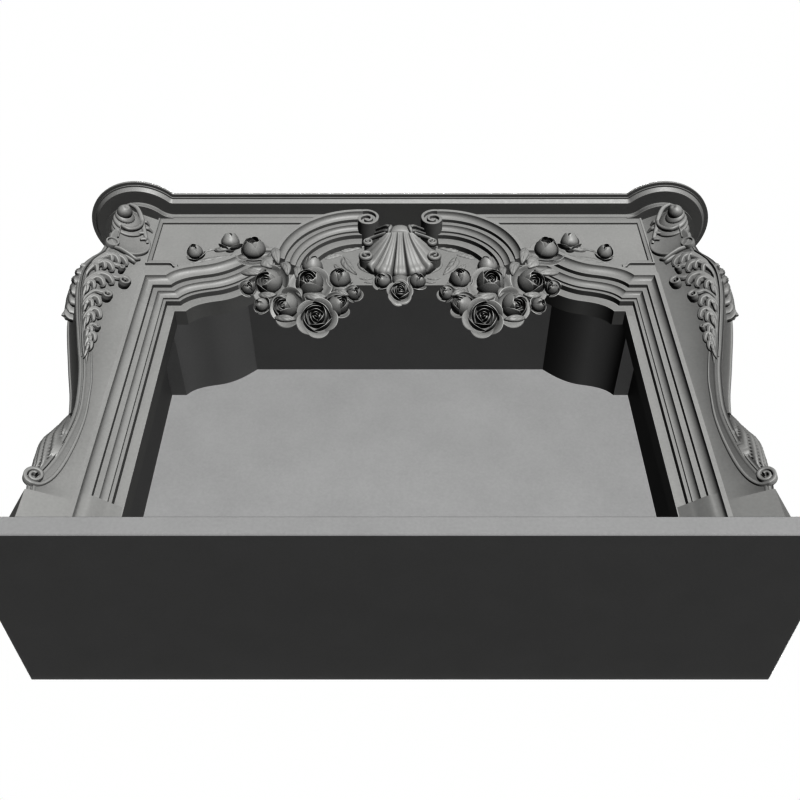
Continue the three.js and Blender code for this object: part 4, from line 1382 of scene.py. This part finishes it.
def conch_trim():
    """The ball at the shell's small end with a dimple for its eye, the cup below, and the bands, stem and
    small leaves round them."""
    polar = np.linspace(0, np.pi, 20)[:, None]
    around = np.linspace(0, 2 * np.pi, 32, endpoint=False)[None, :]
    ring = np.sin(polar)
    round_form = [ring * np.cos(around), -np.cos(polar) + 0 * around, ring * np.sin(around)]
    dimple = 1 - 0.16 * np.exp(-((polar / 0.22) ** 2)) + 0.07 * np.exp(-(((polar - 0.42) / 0.1) ** 2))
    ball = np.array(BALL) + BALL_RADIUS * np.stack([form * dimple for form in round_form], -1)
    forms = [grid(on_console(ball), ring_cols=True), turned(CUP, CUP_PROFILE, 56)]
    forms.append(console_band(OUTER_BAND, 60, [6, 10, 12, 12, 10, 6], [10, 14, 14, 12, 10, 6], 18, 3, 0.1))
    forms.append(console_band(INNER_BAND, 60, [5, 10, 14, 14, 10, 3], [8, 12, 12, 12, 10, 4], 18, 3, 0.08))
    forms.append(console_band(CUP_STEM, 20, [4, 4, 4], [6, 6, 6]))
    for out, z, lean in BAND_LEAVES:
        line = [(out + 12, -10, z - 6), (out, -12, z), (out - lean, -6, z - 2)]
        forms.append(console_band(line, 24, [6, 11, 4], [8, 11, 4]))
    return forms


# The fillet on the console's side, from the leaf's tip down to the foot: [out, height]
FILLET = [
    *[(62, 600), (39, 505), (31.5, 447), (26.5, 389), (28, 331)],
    *[(34, 274), (42, 232), (53, 202), (68, 184)],
]
FOOT_EYE = (84.0, 199.0)


def foot_fillet():
    """The raised fillet down the console's side, wound at the foot into a scroll with a round eye."""
    turn = np.linspace(0, 1.6, 40)
    angle = 2 * np.pi * turn
    reach = np.interp(turn, [0, 0.6, 1.6], [19, 15, 5])
    out, z = FOOT_EYE[0] + reach * np.sin(angle), FOOT_EYE[1] - reach * np.cos(angle)
    wound = np.column_stack([out, np.full(40, -2.5), z])
    line = smooth_line(np.vstack([[(out, 0, z) for out, z in FILLET], wound]), 260)
    share = np.linspace(0, 1, 260)
    width = np.interp(share, [0, 0.1, 0.25, 1], [3, 7, 8, 5.5])
    depth = np.interp(share, [0, 0.1, 0.2, 1], [5, 6, 14, 16])
    return carried(on_console(line), squared(260, width, depth), CONSOLE_FRONT)


class MANTEL_OT_console_carving(bpy.types.Operator):
    """Carves the consoles: acanthus, snail shell, roundel, foot scroll and the leaves over the edge"""

    bl_idname = "mantel.console_carving"
    bl_label = "Console carving"

    def execute(self, context):
        left = [*acanthus(), *roundel(), conch(), *conch_trim(), foot_fillet()]
        left += [edge_leaf(UPPER_LEAF, 9, 1.5, 7), edge_leaf(FOOT_LEAF, 3, 4.5, 5)]
        build_pair("console_carving", left, crease=60)
        return {"FINISHED"}


# Add-on


class MANTEL_PT_panel(bpy.types.Panel):
    """Lists the stones of the mantel"""

    bl_idname = "MANTEL_PT_panel"
    bl_label = "Mantel"
    bl_space_type = "VIEW_3D"
    bl_region_type = "UI"
    bl_category = "Mantel"

    def draw(self, context):
        """Shows the sizes and colours, then a button for each step."""
        for group in (context.scene.stone_sizes, context.scene.stone_colours):
            for name in group.__annotations__:
                self.layout.prop(group, name)
        for step in STEPS:
            self.layout.operator(step.bl_idname)


STEPS = [
    MANTEL_OT_stage,
    MANTEL_OT_plain_stones,
    MANTEL_OT_shelf,
    MANTEL_OT_lintel,
    MANTEL_OT_arches,
    MANTEL_OT_shell,
    MANTEL_OT_roses,
    MANTEL_OT_jambs,
    MANTEL_OT_console_carving,
]
CLASSES = [StoneSizes, StoneColours, *STEPS, MANTEL_PT_panel]


def register():
    """Registers the classes and hangs the sizes and colours on the scene."""
    for kind in CLASSES:
        bpy.utils.register_class(kind)
    bpy.types.Scene.stone_sizes = PointerProperty(type=StoneSizes)
    bpy.types.Scene.stone_colours = PointerProperty(type=StoneColours)


def unregister():
    """Takes back what register did."""
    del bpy.types.Scene.stone_colours
    del bpy.types.Scene.stone_sizes
    for kind in reversed(CLASSES):
        bpy.utils.unregister_class(kind)


def main():
    """Makes the stage and every stone in order."""
    register()
    for step in STEPS:
        group, name = step.bl_idname.split(".")
        getattr(getattr(bpy.ops, group), name)()


if __name__ == "__main__":
    main()
